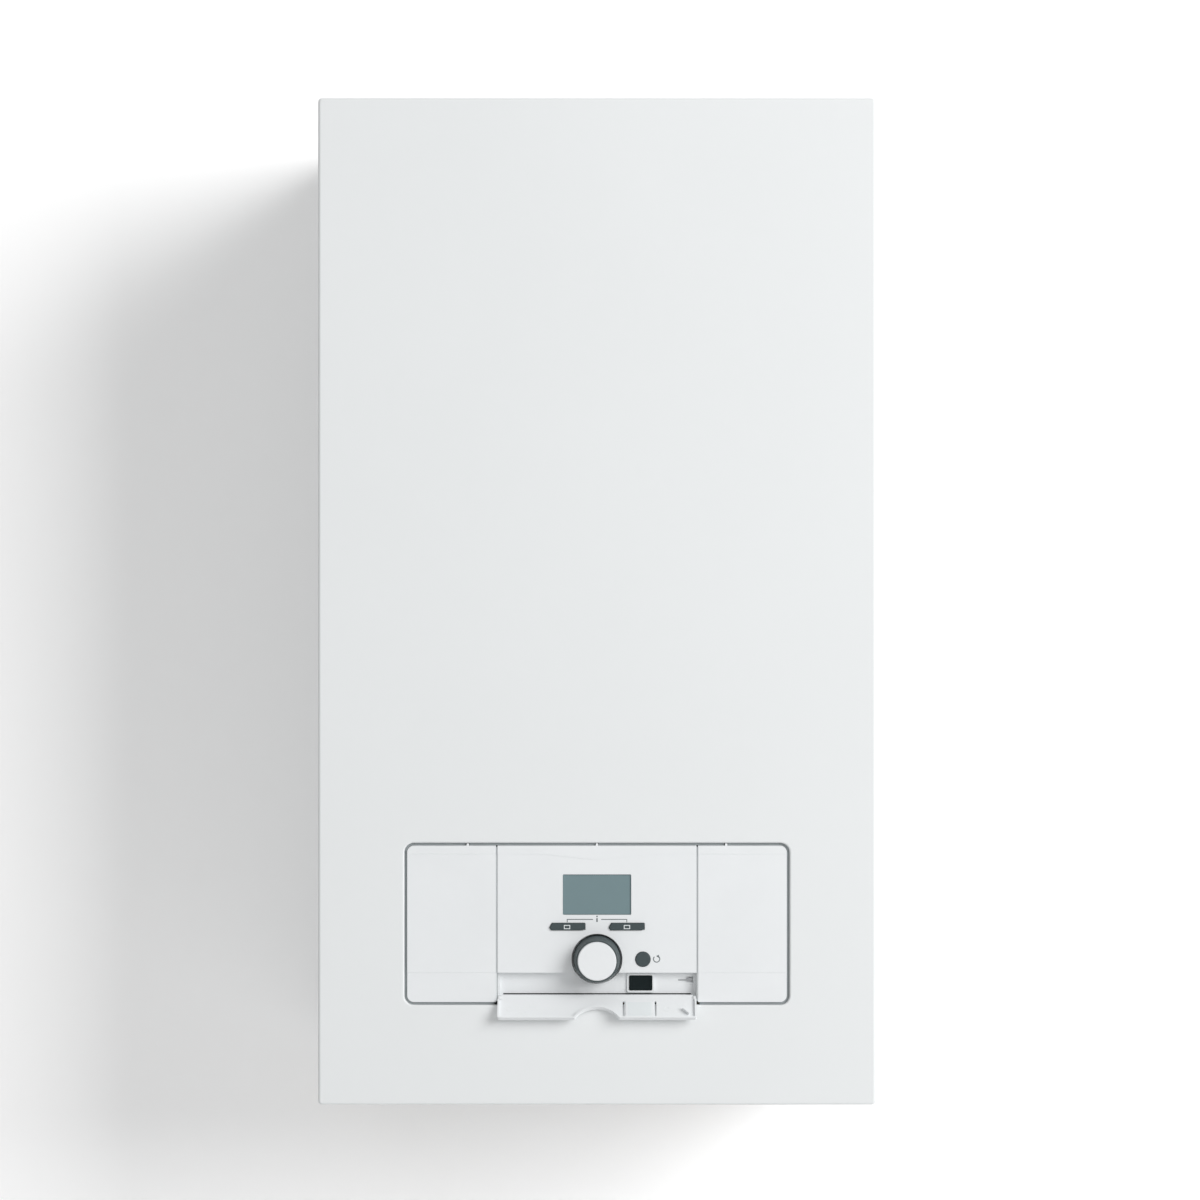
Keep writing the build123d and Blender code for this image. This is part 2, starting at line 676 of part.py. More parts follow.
def reset_button():
    """The round grey fault-reset button, slightly domed."""
    front = FACE_Y - 0.9
    lip_y = FACE_Y + SKIN + FIT
    button = rod_y(RESET_X, front, lip_y + 1, KNOB_Z, RESET_R)
    button = chamfer(button.edges().group_by(Axis.Y)[0], 0.5)
    button += rod_y(RESET_X, lip_y, lip_y + 1, KNOB_Z, RESET_R + KEY_LAP)
    tip = SWITCH_TIP_Y - RESET_TRAVEL - 0.1
    return button + rod_y(RESET_X, lip_y + 0.5, tip, KNOB_Z, STEM_R)


def on_off_button():
    """The black rocker-like push button with a slightly dished face."""
    front = STRIP_Y - BEZEL_UP - 0.8
    button = forward(card(ONOFF_W, ONOFF_H, 0.8, ONOFF_X, ONOFF_Z), STRIP_Y + STRIP_FLOOR, front)
    dish = Pos(ONOFF_X, front - 59.5, ONOFF_Z) * Rot(0, 90, 0) * Cylinder(60, ONOFF_W - 3)
    button -= dish
    stem_end = STRIP_Y + STRIP_FLOOR + ONOFF_TRAVEL + 2.5
    half_w, half_h = 2.5, 2.0
    x, z = ONOFF_X, ONOFF_Z
    return button + block(x - half_w, x + half_w, STRIP_Y + 1, stem_end, z - half_h, z + half_h)


def on_off_switch():
    """The latching switch behind the on/off button, with the well that its stem slides in."""
    front = STRIP_Y + STRIP_FLOOR + ONOFF_TRAVEL + FIT
    x, z = ONOFF_X, ONOFF_Z
    body = block(x - 10, x + 10, front, BOARD_Y, z - 6.5, z + 6.5)
    return body - block(x - 2.6, x + 2.6, front - 1, BOARD_Y - 0.8, z - 2.1, z + 2.1)


def flap():
    """The fold-down flap: skin, raised rim, knob notch, springy tongue, hook and moulded hinge pins."""
    half = FLAP_W / 2
    low = HINGE_Z - HINGE_EDGE
    outline = card(FLAP_W, FLAP_TOP - low, FLAP_CORNER, 0, (FLAP_TOP + low) / 2)
    knob = Pos(0, KNOB_Z)
    outline -= knob * Circle(NOTCH_R)
    for side in (-1, 1):
        ear = (side * (half - EAR_W - 0.7), side * (half + 1))
        outline -= strip(min(ear), max(ear), low - 1, HINGE_Z + EAR_R + FIT)
    inside = strip(FLAP_RIM - half, half - FLAP_RIM, low - 5, FLAP_TOP - FLAP_RIM)
    inside -= knob * Circle(NOTCH_R + FLAP_RIM)
    skin_y = LOW_FACE_Y + FLAP_SKIN
    piece = forward(outline, skin_y, LOW_FACE_Y)
    piece += forward(outline - inside, skin_y + FLAP_RIM_UP, skin_y - 0.5)
    x0, x1 = TONGUE_X
    slot_low, slot_high = HINGE_Z + SLOT_LOW, HINGE_Z + SLOT_HIGH
    piece += forward(strip(x0 + 1.4, x1 - 1.4, slot_low, slot_high), skin_y + TONGUE_UP, skin_y - 0.5)
    for x in TONGUE_X:
        slot = strip(x - SLOT_W / 2, x + SLOT_W / 2, slot_low, slot_high)
        piece -= forward(slot, skin_y + 3, LOW_FACE_Y - 1)
    hook = Pos(65.2, HINGE_Z + 12.2) * Rot(0, 0, 43) * Rectangle(6, 1.2)
    piece += forward(hook, skin_y + 3.2, skin_y - 0.5)
    inner = half - EAR_W - 0.7
    for side in (-1, 1):
        pin = (side * (inner - 1), side * (half - 0.6))
        piece += rod_x(min(pin), max(pin), HINGE_Y, HINGE_Z, PIN_R)
    return piece.rotate(Axis((0, HINGE_Y, HINGE_Z), (1, 0, 0)), FLAP_OPEN)


def shell_of(radius, low, high, shoulder):
    """A closed round vessel along Z with sloping shoulders."""
    profile = Polyline(
        (0, low),
        (radius - shoulder, low),
        (radius, low + shoulder),
        (radius, high),
        (0, high),
        close=True,
    )
    return revolve(Plane.XZ * make_face(profile), Axis.Z, 360)


def heat_exchanger():
    """The steel tank, open at its top under the heater flange, with an inlet below and an outlet near the top."""
    tank = shell_of(TANK_R, TANK_LOW, TANK_HIGH, TANK_SHOULDER)
    tank += rod_z(0, 0, TANK_HIGH - COLLAR_T, TANK_HIGH, FLANGE_R)
    inner = TANK_R - TANK_WALL
    tank -= shell_of(inner, TANK_LOW + TANK_WALL, TANK_HIGH + 1, TANK_SHOULDER)
    tank = Pos(TANK_X, TANK_Y, 0) * tank
    tank += rod_z(TANK_X, TANK_Y, TANK_LOW - 14, TANK_LOW + 1, PIPE_R + 2)
    tank -= rod_z(TANK_X, TANK_Y, TANK_LOW - 15, TANK_LOW + 5, PIPE_R - PIPE_WALL)
    out = TANK_X - TANK_R
    tank += rod_x(out - FOAM_T - 1, out + 1, TANK_Y, OUTLET_Z, PIPE_R + 2)
    tank -= rod_x(out - FOAM_T - 2, out + 5, TANK_Y, OUTLET_Z, PIPE_R - PIPE_WALL)
    for x, y in bolt_spots():
        tank -= rod_z(x, y, TANK_HIGH - COLLAR_T - 1, TANK_HIGH + 1, BOLT_R + SLIP)
    return tank


def bolt_spots():
    """The centres of the heater flange's bolts."""
    spots = []
    for k in range(BOLT_COUNT):
        turn = radians(360 / BOLT_COUNT * (k + 0.5))
        spots.append((TANK_X + BOLT_PCD / 2 * cos(turn), TANK_Y + BOLT_PCD / 2 * sin(turn)))
    return spots


def rod_spots():
    """The centres of the three hairpin heating elements."""
    spots = []
    for k in range(3):
        turn = radians(120 * k + 30)
        spots.append((TANK_X + ROD_RING * cos(turn), TANK_Y + ROD_RING * sin(turn)))
    return spots


def seals():
    """The flat ring under the heater flange and the two flat seals in the pump's unions."""
    ring = rod_z(TANK_X, TANK_Y, TANK_HIGH, FLANGE_LOW, BOLT_PCD / 2 - BOLT_R - 1)
    rings = [ring - rod_z(TANK_X, TANK_Y, TANK_HIGH - 1, FLANGE_LOW + 1, TANK_R - TANK_WALL - 2)]
    for z in (PUMP_LOW - GASKET_T, PUMP_HIGH):
        union = rod_z(RETURN_X, PORT_Y, z, z + GASKET_T, PUMP_PORT_R)
        rings.append(union - rod_z(RETURN_X, PORT_Y, z - 1, z + GASKET_T + 1, PIPE_R - PIPE_WALL))
    return Compound(rings)


def heater_flange():
    """The bolted lid that carries the heating elements and the air vent's boss."""
    lid = rod_z(TANK_X, TANK_Y, FLANGE_LOW, FLANGE_HIGH, FLANGE_R)
    lid += rod_z(TANK_X, TANK_Y, FLANGE_HIGH - 1, FLANGE_HIGH + 5, VENT_R + 3)
    lid -= rod_z(TANK_X, TANK_Y, FLANGE_LOW - 1, FLANGE_HIGH + 6, 4)
    for x, y in rod_spots():
        for side in (-1, 1):
            lid -= rod_z(x + side * ROD_GAP, y, FLANGE_LOW - 1, FLANGE_HIGH + 1, ROD_R + SLIP)
    for x, y in bolt_spots():
        lid -= rod_z(x, y, FLANGE_LOW - 1, FLANGE_HIGH + 1, BOLT_R + SLIP)
    return lid


def flange_bolts():
    """Hexagon bolts through the heater flange."""
    bolts = []
    for x, y in bolt_spots():
        bolt = rod_z(x, y, TANK_HIGH - COLLAR_T, FLANGE_HIGH + 1, BOLT_R)
        bolts.append(bolt + hex_nut(x, y, FLANGE_HIGH, FLANGE_HIGH + 4, 10, 0))
    return Compound(bolts)


def heating_elements():
    """Three hairpin tubular heaters with their terminals above the flange."""
    elements = []
    foot = TANK_LOW + 30
    top = FLANGE_HIGH + 14
    for x, y in rod_spots():
        legs = rod_z(x - ROD_GAP, y, foot, top, ROD_R) + rod_z(x + ROD_GAP, y, foot, top, ROD_R)
        elements.append(legs + rod_x(x - ROD_GAP, x + ROD_GAP, y, foot, ROD_R))
    return Compound(elements)


def insulation(side):
    """Half of the black foam shell round the tank."""
    low, high = TANK_LOW - 12, TANK_HIGH - COLLAR_T - FIT
    foam = rod_z(TANK_X, TANK_Y, low, high, FOAM_R)
    foam -= Pos(TANK_X, TANK_Y, 0) * shell_of(TANK_R + FIT, TANK_LOW - FIT, high + 1, TANK_SHOULDER)
    foam -= rod_z(TANK_X, TANK_Y, low - 1, TANK_LOW + 1, PIPE_R + 2 + FIT)
    foam -= rod_x(TANK_X - FOAM_R - 1, TANK_X, TANK_Y, OUTLET_Z, PIPE_R + 2 + FIT)
    far = FOAM_R + 1
    keep = (TANK_Y + FIT / 2, TANK_Y + far) if side > 0 else (TANK_Y - far, TANK_Y - FIT / 2)
    return foam & block(TANK_X - far, TANK_X + far, keep[0], keep[1], low - 1, high + 1)


def tank_bands():
    """Two steel straps that clamp the insulated tank to the crossbars."""
    bands = []
    inner = FOAM_R + FIT
    for z in (BAR_LOW + 5, BAR_HIGH - 8):
        band = rod_z(TANK_X, TANK_Y, z, z + 15, inner + 1.2) - rod_z(TANK_X, TANK_Y, z - 1, z + 16, inner)
        front = BAR_Y - BAR_T - FIT
        foot = block(TANK_X - 30, TANK_X + 30, front - 2, front, z, z + 15)
        foot += block(TANK_X - 30, TANK_X - 26, TANK_Y + 60, front, z, z + 15)
        foot += block(TANK_X + 26, TANK_X + 30, TANK_Y + 60, front, z, z + 15)
        foot -= rod_z(TANK_X, TANK_Y, z - 1, z + 16, inner + 0.2)
        bands.append(band + foot)
    return Compound(bands)


def air_vent():
    """The automatic air vent on the lid, a sealed brass float chamber."""
    low = FLANGE_HIGH + 5
    body = rod_z(TANK_X, TANK_Y, low, low + 8, VENT_R)
    body += rod_z(TANK_X, TANK_Y, low + 6, low + VENT_H, VENT_R + 4)
    return body + rod_z(TANK_X, TANK_Y, low + VENT_H - 1, low + VENT_H + 5, 3)


def air_vent_cap():
    """The small screw cap on the air vent."""
    low = FLANGE_HIGH + 5 + VENT_H + FIT
    cap = rod_z(TANK_X, TANK_Y, low, low + 8, 6)
    return cap - rod_z(TANK_X, TANK_Y, low - 1, low + 5.3, 3 + SLIP)


def flow_pipe():
    """The hot pipe from the tank's outlet down to the flow connection."""
    points = [
        (TANK_X - TANK_R - FOAM_T - 1, TANK_Y, OUTLET_Z),
        (FLOW_DROP_X, TANK_Y, OUTLET_Z),
        (FLOW_DROP_X, TANK_Y, FLOW_TURN_Z),
        (FLOW_X, PORT_Y, FLOW_TURN_Z),
        (FLOW_X, PORT_Y, STUB_TOP),
    ]
    return tube(points, FLOW_BEND, PIPE_R)


def flow_stub():
    """The brass flow connection, with a shoulder on the bottom plate and a male thread below it."""
    stub = rod_z(FLOW_X, PORT_Y, STUB_END, THREAD_TOP, THREAD_R)
    stub += rod_z(FLOW_X, PORT_Y, THREAD_TOP - 1, BASE_TOP + 1, NECK_R)
    stub += rod_z(FLOW_X, PORT_Y, BASE_TOP, BASE_TOP + 6, THREAD_R + 4)
    stub += rod_z(FLOW_X, PORT_Y, BASE_TOP + 5, STUB_TOP, PIPE_R + 3)
    return stub - rod_z(FLOW_X, PORT_Y, STUB_END - 1, STUB_TOP + 1, PIPE_R - PIPE_WALL)


def return_manifold():
    """The brass block on the return side, which carries the safety valve, sensor, drain cock and vessel pipe."""
    half = MANIFOLD_SIDE / 2
    body = rod_z(RETURN_X, PORT_Y, STUB_END, THREAD_TOP, THREAD_R)
    body += rod_z(RETURN_X, PORT_Y, THREAD_TOP - 1, BASE_TOP + 1, NECK_R)
    body += rod_z(RETURN_X, PORT_Y, BASE_TOP, BASE_TOP + 6, THREAD_R + 4)
    body += rod_z(RETURN_X, PORT_Y, BASE_TOP + 5, 70, THREAD_R)
    x, y = RETURN_X, PORT_Y
    cube = block(x - half, x + half, y - half, y + half, 66, MANIFOLD_TOP - 4)
    body += chamfer(cube.edges().filter_by(Axis.Z), 4)
    body += rod_z(x, y, MANIFOLD_TOP - 5, PUMP_LOW - GASKET_T, PUMP_PORT_R)
    body -= rod_z(x, y, STUB_END - 1, BORE_TOP, PIPE_R - PIPE_WALL)
    return body


def pipe_nuts():
    """Two flat nuts that clamp the connections under the bottom plate, and the pump's two union nuts."""
    nuts = []
    for x in (FLOW_X, RETURN_X):
        nuts.append(hex_nut(x, PORT_Y, BASE_PLATE - NUT_H, BASE_PLATE, NUT_FLATS, NECK_R + SLIP))
    for z in (PUMP_LOW, PUMP_HIGH):
        nuts.append(hex_nut(RETURN_X, PORT_Y, z - 11, z + 11, 37, PUMP_PORT_R + SLIP))
    return Compound(nuts)


def pump_volute():
    """The pump's housing with the impeller chamber and two ports in line."""
    x, y = RETURN_X, PORT_Y
    body = rod_y(x, MOTOR_Y, y + VOLUTE_T / 2, PUMP_MID, VOLUTE_R)
    body += rod_z(x, y, PUMP_LOW, PUMP_HIGH, PUMP_PORT_R)
    body -= rod_z(x, y, PUMP_LOW - 1, PUMP_LOW + 30, PIPE_R - PIPE_WALL)
    body -= rod_z(x, y, PUMP_HIGH - 30, PUMP_HIGH + 1, PIPE_R - PIPE_WALL)
    return body - rod_y(x, MOTOR_Y - 1, MOTOR_Y + 24, PUMP_MID, ROTOR_R + 3)


def pump_motor():
    """The motor can with cooling ribs and its terminal box."""
    x, front = RETURN_X, MOTOR_Y - MOTOR_L
    body = rod_y(x, MOTOR_Y - 8, MOTOR_Y, PUMP_MID, VOLUTE_R)
    body += rod_y(x, front, MOTOR_Y - 7, PUMP_MID, MOTOR_R - 3)
    for k in range(10):
        spoke = block(-MOTOR_R, MOTOR_R, front + 12, MOTOR_Y - 7, -1.2, 1.2)
        body += Pos(x, 0, PUMP_MID) * Rot(0, 18 * k, 0) * spoke
    body += block(x - 28, x + 28, front + 14, MOTOR_Y - 14, PUMP_MID + 30, PUMP_MID + 62)
    return body - rod_y(x, front + 10, MOTOR_Y + 1, PUMP_MID, SHAFT_R + SLIP)


def pump_rotor():
    """The shaft and the impeller with its curved blades."""
    x = RETURN_X
    front = MOTOR_Y - MOTOR_L + 10.5
    rotor = rod_y(x, front, MOTOR_Y + 18, PUMP_MID, SHAFT_R)
    rotor += rod_y(x, MOTOR_Y + 3, MOTOR_Y + 5.5, PUMP_MID, ROTOR_R)
    rotor += rod_y(x, MOTOR_Y + 3, MOTOR_Y + 18, PUMP_MID, 7)
    for k in range(6):
        blade = Pos(16, 0) * Rot(0, 0, 35) * Rectangle(20, 1.6)
        blade = Pos(x, PUMP_MID) * Rot(0, 0, 60 * k) * blade
        rotor += forward(blade, MOTOR_Y + 16, MOTOR_Y + 5)
    return rotor


def riser_pipe():
    """The pipe from the pump up to the tank's inlet."""
    points = [
        (RETURN_X, PORT_Y, PUMP_HIGH + GASKET_T),
        (RETURN_X, PORT_Y, RISER_Z),
        (TANK_X, TANK_Y, RISER_Z),
        (TANK_X, TANK_Y, TANK_LOW - 14),
    ]
    return tube(points, RISER_BEND, PIPE_R)


def safety_valve():
    """The safety valve screwed into the manifold, with its outlet turned down."""
    right = RETURN_X - MANIFOLD_SIDE / 2
    body = rod_x(DISCHARGE_X, right, PORT_Y, BRANCH_Z, 9)
    body += rod_x(DISCHARGE_X - 12, DISCHARGE_X + 12, PORT_Y, BRANCH_Z, 15)
    body += rod_x(VALVE_END, DISCHARGE_X - 8, PORT_Y, BRANCH_Z, 11)
    body += rod_z(DISCHARGE_X, PORT_Y, 62, BRANCH_Z, 11)
    body += rod_x(VALVE_END - 8, VALVE_END + 1, PORT_Y, BRANCH_Z, 3)
    return body - rod_z(DISCHARGE_X, PORT_Y, 61, VALVE_SOCKET, DISCHARGE_R + SLIP)


def safety_valve_cap():
    """The turning cap of the safety valve, with grip flats."""
    left = VALVE_END - 16
    right = VALVE_END - FIT
    cap = rod_x(left, right, PORT_Y, BRANCH_Z, 14)
    for k in range(4):
        flat = block(left - 1, right + 1, 12.6, 16, -16, 16)
        cap -= Pos(0, PORT_Y, BRANCH_Z) * Rot(90 * k, 0, 0) * flat
    return cap - rod_x(VALVE_END - 8.3, right + 1, PORT_Y, BRANCH_Z, 3 + SLIP)


def discharge_pipe():
    """The safety valve's outlet pipe through the bottom plate."""
    pipe = rod_z(DISCHARGE_X, PORT_Y, DISCHARGE_END, VALVE_SOCKET - FIT, DISCHARGE_R)
    pipe += rod_z(DISCHARGE_X, PORT_Y, BEAD_LOW, BEAD_LOW + 3, DISCHARGE_R + 0.8)
    return pipe - rod_z(DISCHARGE_X, PORT_Y, DISCHARGE_END - 1, VALVE_SOCKET, DISCHARGE_R - PIPE_WALL)


def pressure_sensor():
    """The water pressure sensor on the manifold's front."""
    face = PORT_Y - MANIFOLD_SIDE / 2
    body = rod_y(RETURN_X, face - 10, face, BRANCH_Z, 7)
    body += Pos(RETURN_X, 0, BRANCH_Z) * forward(RegularPolygon(12, 6), face - 3, face - 10)
    body += rod_y(RETURN_X, face - 28, face - 9, BRANCH_Z, 9)
    return body


def drain_cock():
    """The filling and draining cock, with a hose tail through the bottom plate."""
    left = RETURN_X + MANIFOLD_SIDE / 2
    body = rod_x(left, DRAIN_X, PORT_Y, BRANCH_Z, 7)
    body += rod_z(DRAIN_X, PORT_Y, 70, 102, 10)
    body += rod_z(DRAIN_X, PORT_Y, DRAIN_END, 71, DRAIN_R)
    body += Pos(DRAIN_X, PORT_Y, 0) * Cone(DRAIN_R, DRAIN_R + 0.8, 6)
    body -= rod_z(DRAIN_X, PORT_Y, DRAIN_END - 1, 30, DRAIN_R - 2)
    return body - rod_y(DRAIN_X, PORT_Y - 11, PORT_Y + 4, BRANCH_Z, 5 + SLIP)


def drain_spindle():
    """The quarter-turn spindle of the drain cock with its lever head."""
    spindle = rod_y(DRAIN_X, PORT_Y - 20, PORT_Y + 3.5, BRANCH_Z, 5)
    return spindle + block(DRAIN_X - 11, DRAIN_X + 11, PORT_Y - 23, PORT_Y - 14, BRANCH_Z - 3, BRANCH_Z + 3)


def expansion_vessel():
    """The flat round expansion vessel, two pressed halves joined by a rolled bead."""
    y0, y1 = BACK_Y - SHEET - FIT - VESSEL_T, BACK_Y - SHEET - FIT
    middle = (y0 + y1) / 2
    r = VESSEL_R
    profile = Polyline(
        (0, y0),
        (r - VESSEL_SHOULDER, y0),
        (r, middle - VESSEL_SEAM),
        (r + VESSEL_BEAD, middle - VESSEL_SEAM),
        (r + VESSEL_BEAD, middle + VESSEL_SEAM),
        (r, middle + VESSEL_SEAM),
        (r - VESSEL_SHOULDER, y1),
        (0, y1),
        close=True,
    )
    vessel = Pos(0, 0, VESSEL_Z) * revolve(make_face(profile), Axis.Y, 360)
    return vessel + rod_z(0, VESSEL_PIPE_Y, VESSEL_Z - r - 14, VESSEL_Z - r + 2, 9)


def vessel_pipe():
    """The thin pipe between the expansion vessel and the manifold."""
    points = [
        (0, VESSEL_PIPE_Y, VESSEL_Z - VESSEL_R - 14),
        (0, VESSEL_PIPE_Y, BRANCH_Z),
        (RETURN_X, VESSEL_PIPE_Y, BRANCH_Z),
        (RETURN_X, PORT_Y + MANIFOLD_SIDE / 2, BRANCH_Z),
    ]
    return tube(points, 15, VESSEL_PIPE_R)


def contactor_plate():
    """The steel plate for the power parts, on four pillars from the crossbars, with two top-hat rails."""
    (x0, x1), (z0, z1) = PLATE_X, PLATE_Z
    plate = block(x0, x1, PLATE_Y - PLATE_T, PLATE_Y, z0, z1)
    for x in (x0 + 20, x1 - 20):
        for z in (BAR_LOW, BAR_HIGH):
            plate += rod_y(x, PLATE_Y - 0.5, BAR_Y - BAR_T - FIT, z + BAR_H / 2, 5)
    front = PLATE_Y - PLATE_T
    for z in (CONTACTOR_Z, TERMINAL_Z):
        plate += block(x0 + 8, x1 - 8, front - 6, front + 0.5, z - 12, z + 12)
        plate += block(x0 + 8, x1 - 8, front - 7.5, front - 5.5, z - 17, z + 17)
    return plate


def contactors():
    """Three relays that switch the heating elements."""
    units = []
    back = PLATE_Y - PLATE_T - 7.5 - FIT
    for k in range(3):
        x = (PLATE_X[0] + PLATE_X[1]) / 2 + (k - 1) * (CONTACTOR_W + 4)
        x0, x1 = x - CONTACTOR_W / 2, x + CONTACTOR_W / 2
        low, high = CONTACTOR_Z - CONTACTOR_H / 2, CONTACTOR_Z + CONTACTOR_H / 2
        unit = block(x0, x1, back - 50, back, low, high)
        unit += block(x0, x1, back - CONTACTOR_D, back - 49, low + 16, high - 16)
        for row in (-13, 0, 13):
            unit -= block(x + row - 4, x + row + 4, back - 51, back - 44, low + 4, low + 12)
            unit -= block(x + row - 4, x + row + 4, back - 51, back - 44, high - 12, high - 4)
        units.append(unit)
    return Compound(units)


def terminal_block():
    """The row of mains terminals."""
    back = PLATE_Y - PLATE_T - 7.5 - FIT
    x0 = PLATE_X[0] + 30
    body = block(x0, x0 + 90, back - 34, back, TERMINAL_Z - 22, TERMINAL_Z + 22)
    for k in range(7):
        x = x0 + 9 + 12 * k
        for z in (TERMINAL_Z - 15, TERMINAL_Z + 15):
            body -= block(x - 3, x + 3, back - 35, back - 26, z - 4, z + 4)
    for k in range(1, 7):
        body -= block(x0 + 12 * k + 2.6, x0 + 12 * k + 3.4, back - 35, back - 24, TERMINAL_Z - 8, TERMINAL_Z + 8)
    return body


def temperature_limiter():
    """The safety temperature limiter, clipped to the plate beside the tank."""
    back = PLATE_Y - PLATE_T - FIT
    x, z = PLATE_X[0] + 25, 630
    body = block(x - 17, x + 17, back - 26, back, z - 14, z + 14)
    body += rod_y(x, back - 34, back - 25, z, 6)
    return body


def cable_glands():
    """Three cable glands in the bottom plate, one for the mains cable and two for control cables."""
    glands = []
    for x, bore in zip(GLAND_X, GLAND_BORE):
        flats = 2 * (bore + 5)
        gland = rod_z(x, GLAND_Y, BASE_PLATE - GLAND_H, BASE_TOP + 1, bore + 3)
        gland += hex_nut(x, GLAND_Y, BASE_TOP, BASE_TOP + 5, flats, 0)
        gland += hex_nut(x, GLAND_Y, BASE_PLATE - 9, BASE_PLATE, flats, 0)
        glands.append(gland - rod_z(x, GLAND_Y, BASE_PLATE - GLAND_H - 1, BASE_TOP + 6, bore))
    return Compound(glands)


PIECES = {
    "wall_bracket": wall_bracket,
    "hanger_rail": hanger_rail,
    "back_panel": back_panel,
    "side_panel_left": lambda: side_panel(-1),
    "side_panel_right": lambda: side_panel(1),
    "top_panel": top_panel,
    "bottom_plate": bottom_plate,
    "base_channel": base_channel,
    "front_casing": front_casing,
    "casing_screws": casing_screws,
    "crossbars": crossbars,
    "control_brackets": control_brackets,
    "control_box": control_box,
    "control_fascia": control_fascia,
    "side_blank_left": lambda: side_blank(-1),
    "side_blank_right": lambda: side_blank(1),
    "display_window": display_window,
    "display_module": display_module,
    "control_board": control_board,
    "rotary_encoder": rotary_encoder,
    "knob_shaft": knob_shaft,
    "knob_body": knob_body,
    "knob_cap": knob_cap,
    "softkey_left": lambda: softkey(-1),
    "softkey_right": lambda: softkey(1),
    "reset_button": reset_button,
    "on_off_button": on_off_button,
    "on_off_switch": on_off_switch,
    "flap": flap,
    "heat_exchanger": heat_exchanger,
    "seals": seals,
    "heater_flange": heater_flange,
    "flange_bolts": flange_bolts,
    "heating_elements": heating_elements,
    "insulation_front": lambda: insulation(-1),
    "insulation_rear": lambda: insulation(1),
    "tank_bands": tank_bands,
    "air_vent": air_vent,
    "air_vent_cap": air_vent_cap,
    "flow_pipe": flow_pipe,
    "flow_stub": flow_stub,
    "return_manifold": return_manifold,
    "pipe_nuts": pipe_nuts,
    "pump_volute": pump_volute,
    "pump_motor": pump_motor,
    "pump_rotor": pump_rotor,
    "riser_pipe": riser_pipe,
    "safety_valve": safety_valve,
    "safety_valve_cap": safety_valve_cap,
    "discharge_pipe": discharge_pipe,
    "pressure_sensor": pressure_sensor,
    "drain_cock": drain_cock,
    "drain_spindle": drain_spindle,
    "expansion_vessel": expansion_vessel,
    "vessel_pipe": vessel_pipe,
    "contactor_plate": contactor_plate,
    "contactors": contactors,
    "terminal_block": terminal_block,
    "temperature_limiter": temperature_limiter,
    "cable_glands": cable_glands,
}

os.makedirs("parts", exist_ok=True)
for name, make in PIECES.items():
    save(name, make())
print(len(PIECES), "pieces written")
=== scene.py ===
import json
from math import cos, pi, radians, sin

import bpy
from mathutils import Matrix, Vector


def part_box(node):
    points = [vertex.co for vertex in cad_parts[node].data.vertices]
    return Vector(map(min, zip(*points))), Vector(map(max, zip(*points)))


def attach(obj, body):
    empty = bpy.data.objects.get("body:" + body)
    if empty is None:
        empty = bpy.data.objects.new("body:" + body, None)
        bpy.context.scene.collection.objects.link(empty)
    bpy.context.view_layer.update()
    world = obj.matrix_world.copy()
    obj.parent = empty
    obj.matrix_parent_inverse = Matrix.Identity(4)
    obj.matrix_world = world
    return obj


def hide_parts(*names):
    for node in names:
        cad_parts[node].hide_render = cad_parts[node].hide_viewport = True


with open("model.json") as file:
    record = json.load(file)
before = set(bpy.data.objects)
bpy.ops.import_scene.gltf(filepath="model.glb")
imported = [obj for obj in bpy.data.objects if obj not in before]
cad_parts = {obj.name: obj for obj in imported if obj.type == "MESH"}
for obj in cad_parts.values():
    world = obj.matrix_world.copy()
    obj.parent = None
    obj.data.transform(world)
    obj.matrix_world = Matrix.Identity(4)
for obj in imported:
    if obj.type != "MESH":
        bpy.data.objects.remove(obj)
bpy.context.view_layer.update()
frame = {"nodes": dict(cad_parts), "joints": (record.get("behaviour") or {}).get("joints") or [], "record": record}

MM = 0.001

# Where the camera stood, worked out from the casing's edges in the photograph
CAMERA_RIGHT = 2.2 * MM
CAMERA_HEIGHT = 371 * MM
CAMERA_AWAY = 2.5
LENS = 102.1
SENSOR = 36.0

# The sky's strength, and how pale the wall is to the light and to the camera
SKY = 0.395
WALL_PALE = 0.86
WALL_SEEN = 1.33

# The stage, in metres: the wall stands just behind the object's back
STAGE_SIZE = 9
WALL_Y = 0.0015
FLOOR_Y = -2.5
FLOOR_DROP = 1.5

# Points closer than WELD are one. Corners below FLAT are taken out, those above EDGE are softened,
# and those above SHARP stay crisp in the shading
WELD = 1e-6
FLAT = radians(2)
EDGE = radians(35)
SHARP = radians(32)
EDGE_STEPS = 2

# The casing's lowest, leftmost and frontmost point, in metres
CASE_LOW = Vector(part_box("front_casing")[0])

# From here on sizes are in millimetres, with heights above the casing's underside.
# The control panel: its half width, lower and upper edge, corner radius, and the gap left round it
PANEL_HALF = 139.5
PANEL_LOW = 75.5
PANEL_HIGH = 190.5
PANEL_CORNER = 5.0
GAP = 2.0

# Its raised band stands in front of its face. The part below the lower crease and the strip lie behind
BAND_STEP = 0.3
LOW_STEP = 0.4
STRIP_DEPTH = 6.6
FACE_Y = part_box("control_fascia")[0][1] / MM + BAND_STEP

# How far printed marks stand out of the panel
PRINT_RISE = 0.03

# The display's middle, and half the width and height of the glass in its opening
DISPLAY_HEIGHT = 154.5
GLASS_HALF_WIDE = 24.95
GLASS_HALF_HIGH = 14.65

# How far the flap hangs open from shut, in degrees, and how far its inner face lies behind its hinge
FLAP_OPEN = 142
FLAP_INNER = 0.6

# The ejector marks in the flap: across from the middle, along from the hinge, and radius
MOULD_MARKS = (
    (-64.0, 10.0, 2.0),
    (-53.5, 13.3, 1.7),
    (-47.6, 6.7, 1.9),
    (51.2, 9.5, 2.0),
    (52.3, 17.0, 0.6),
)

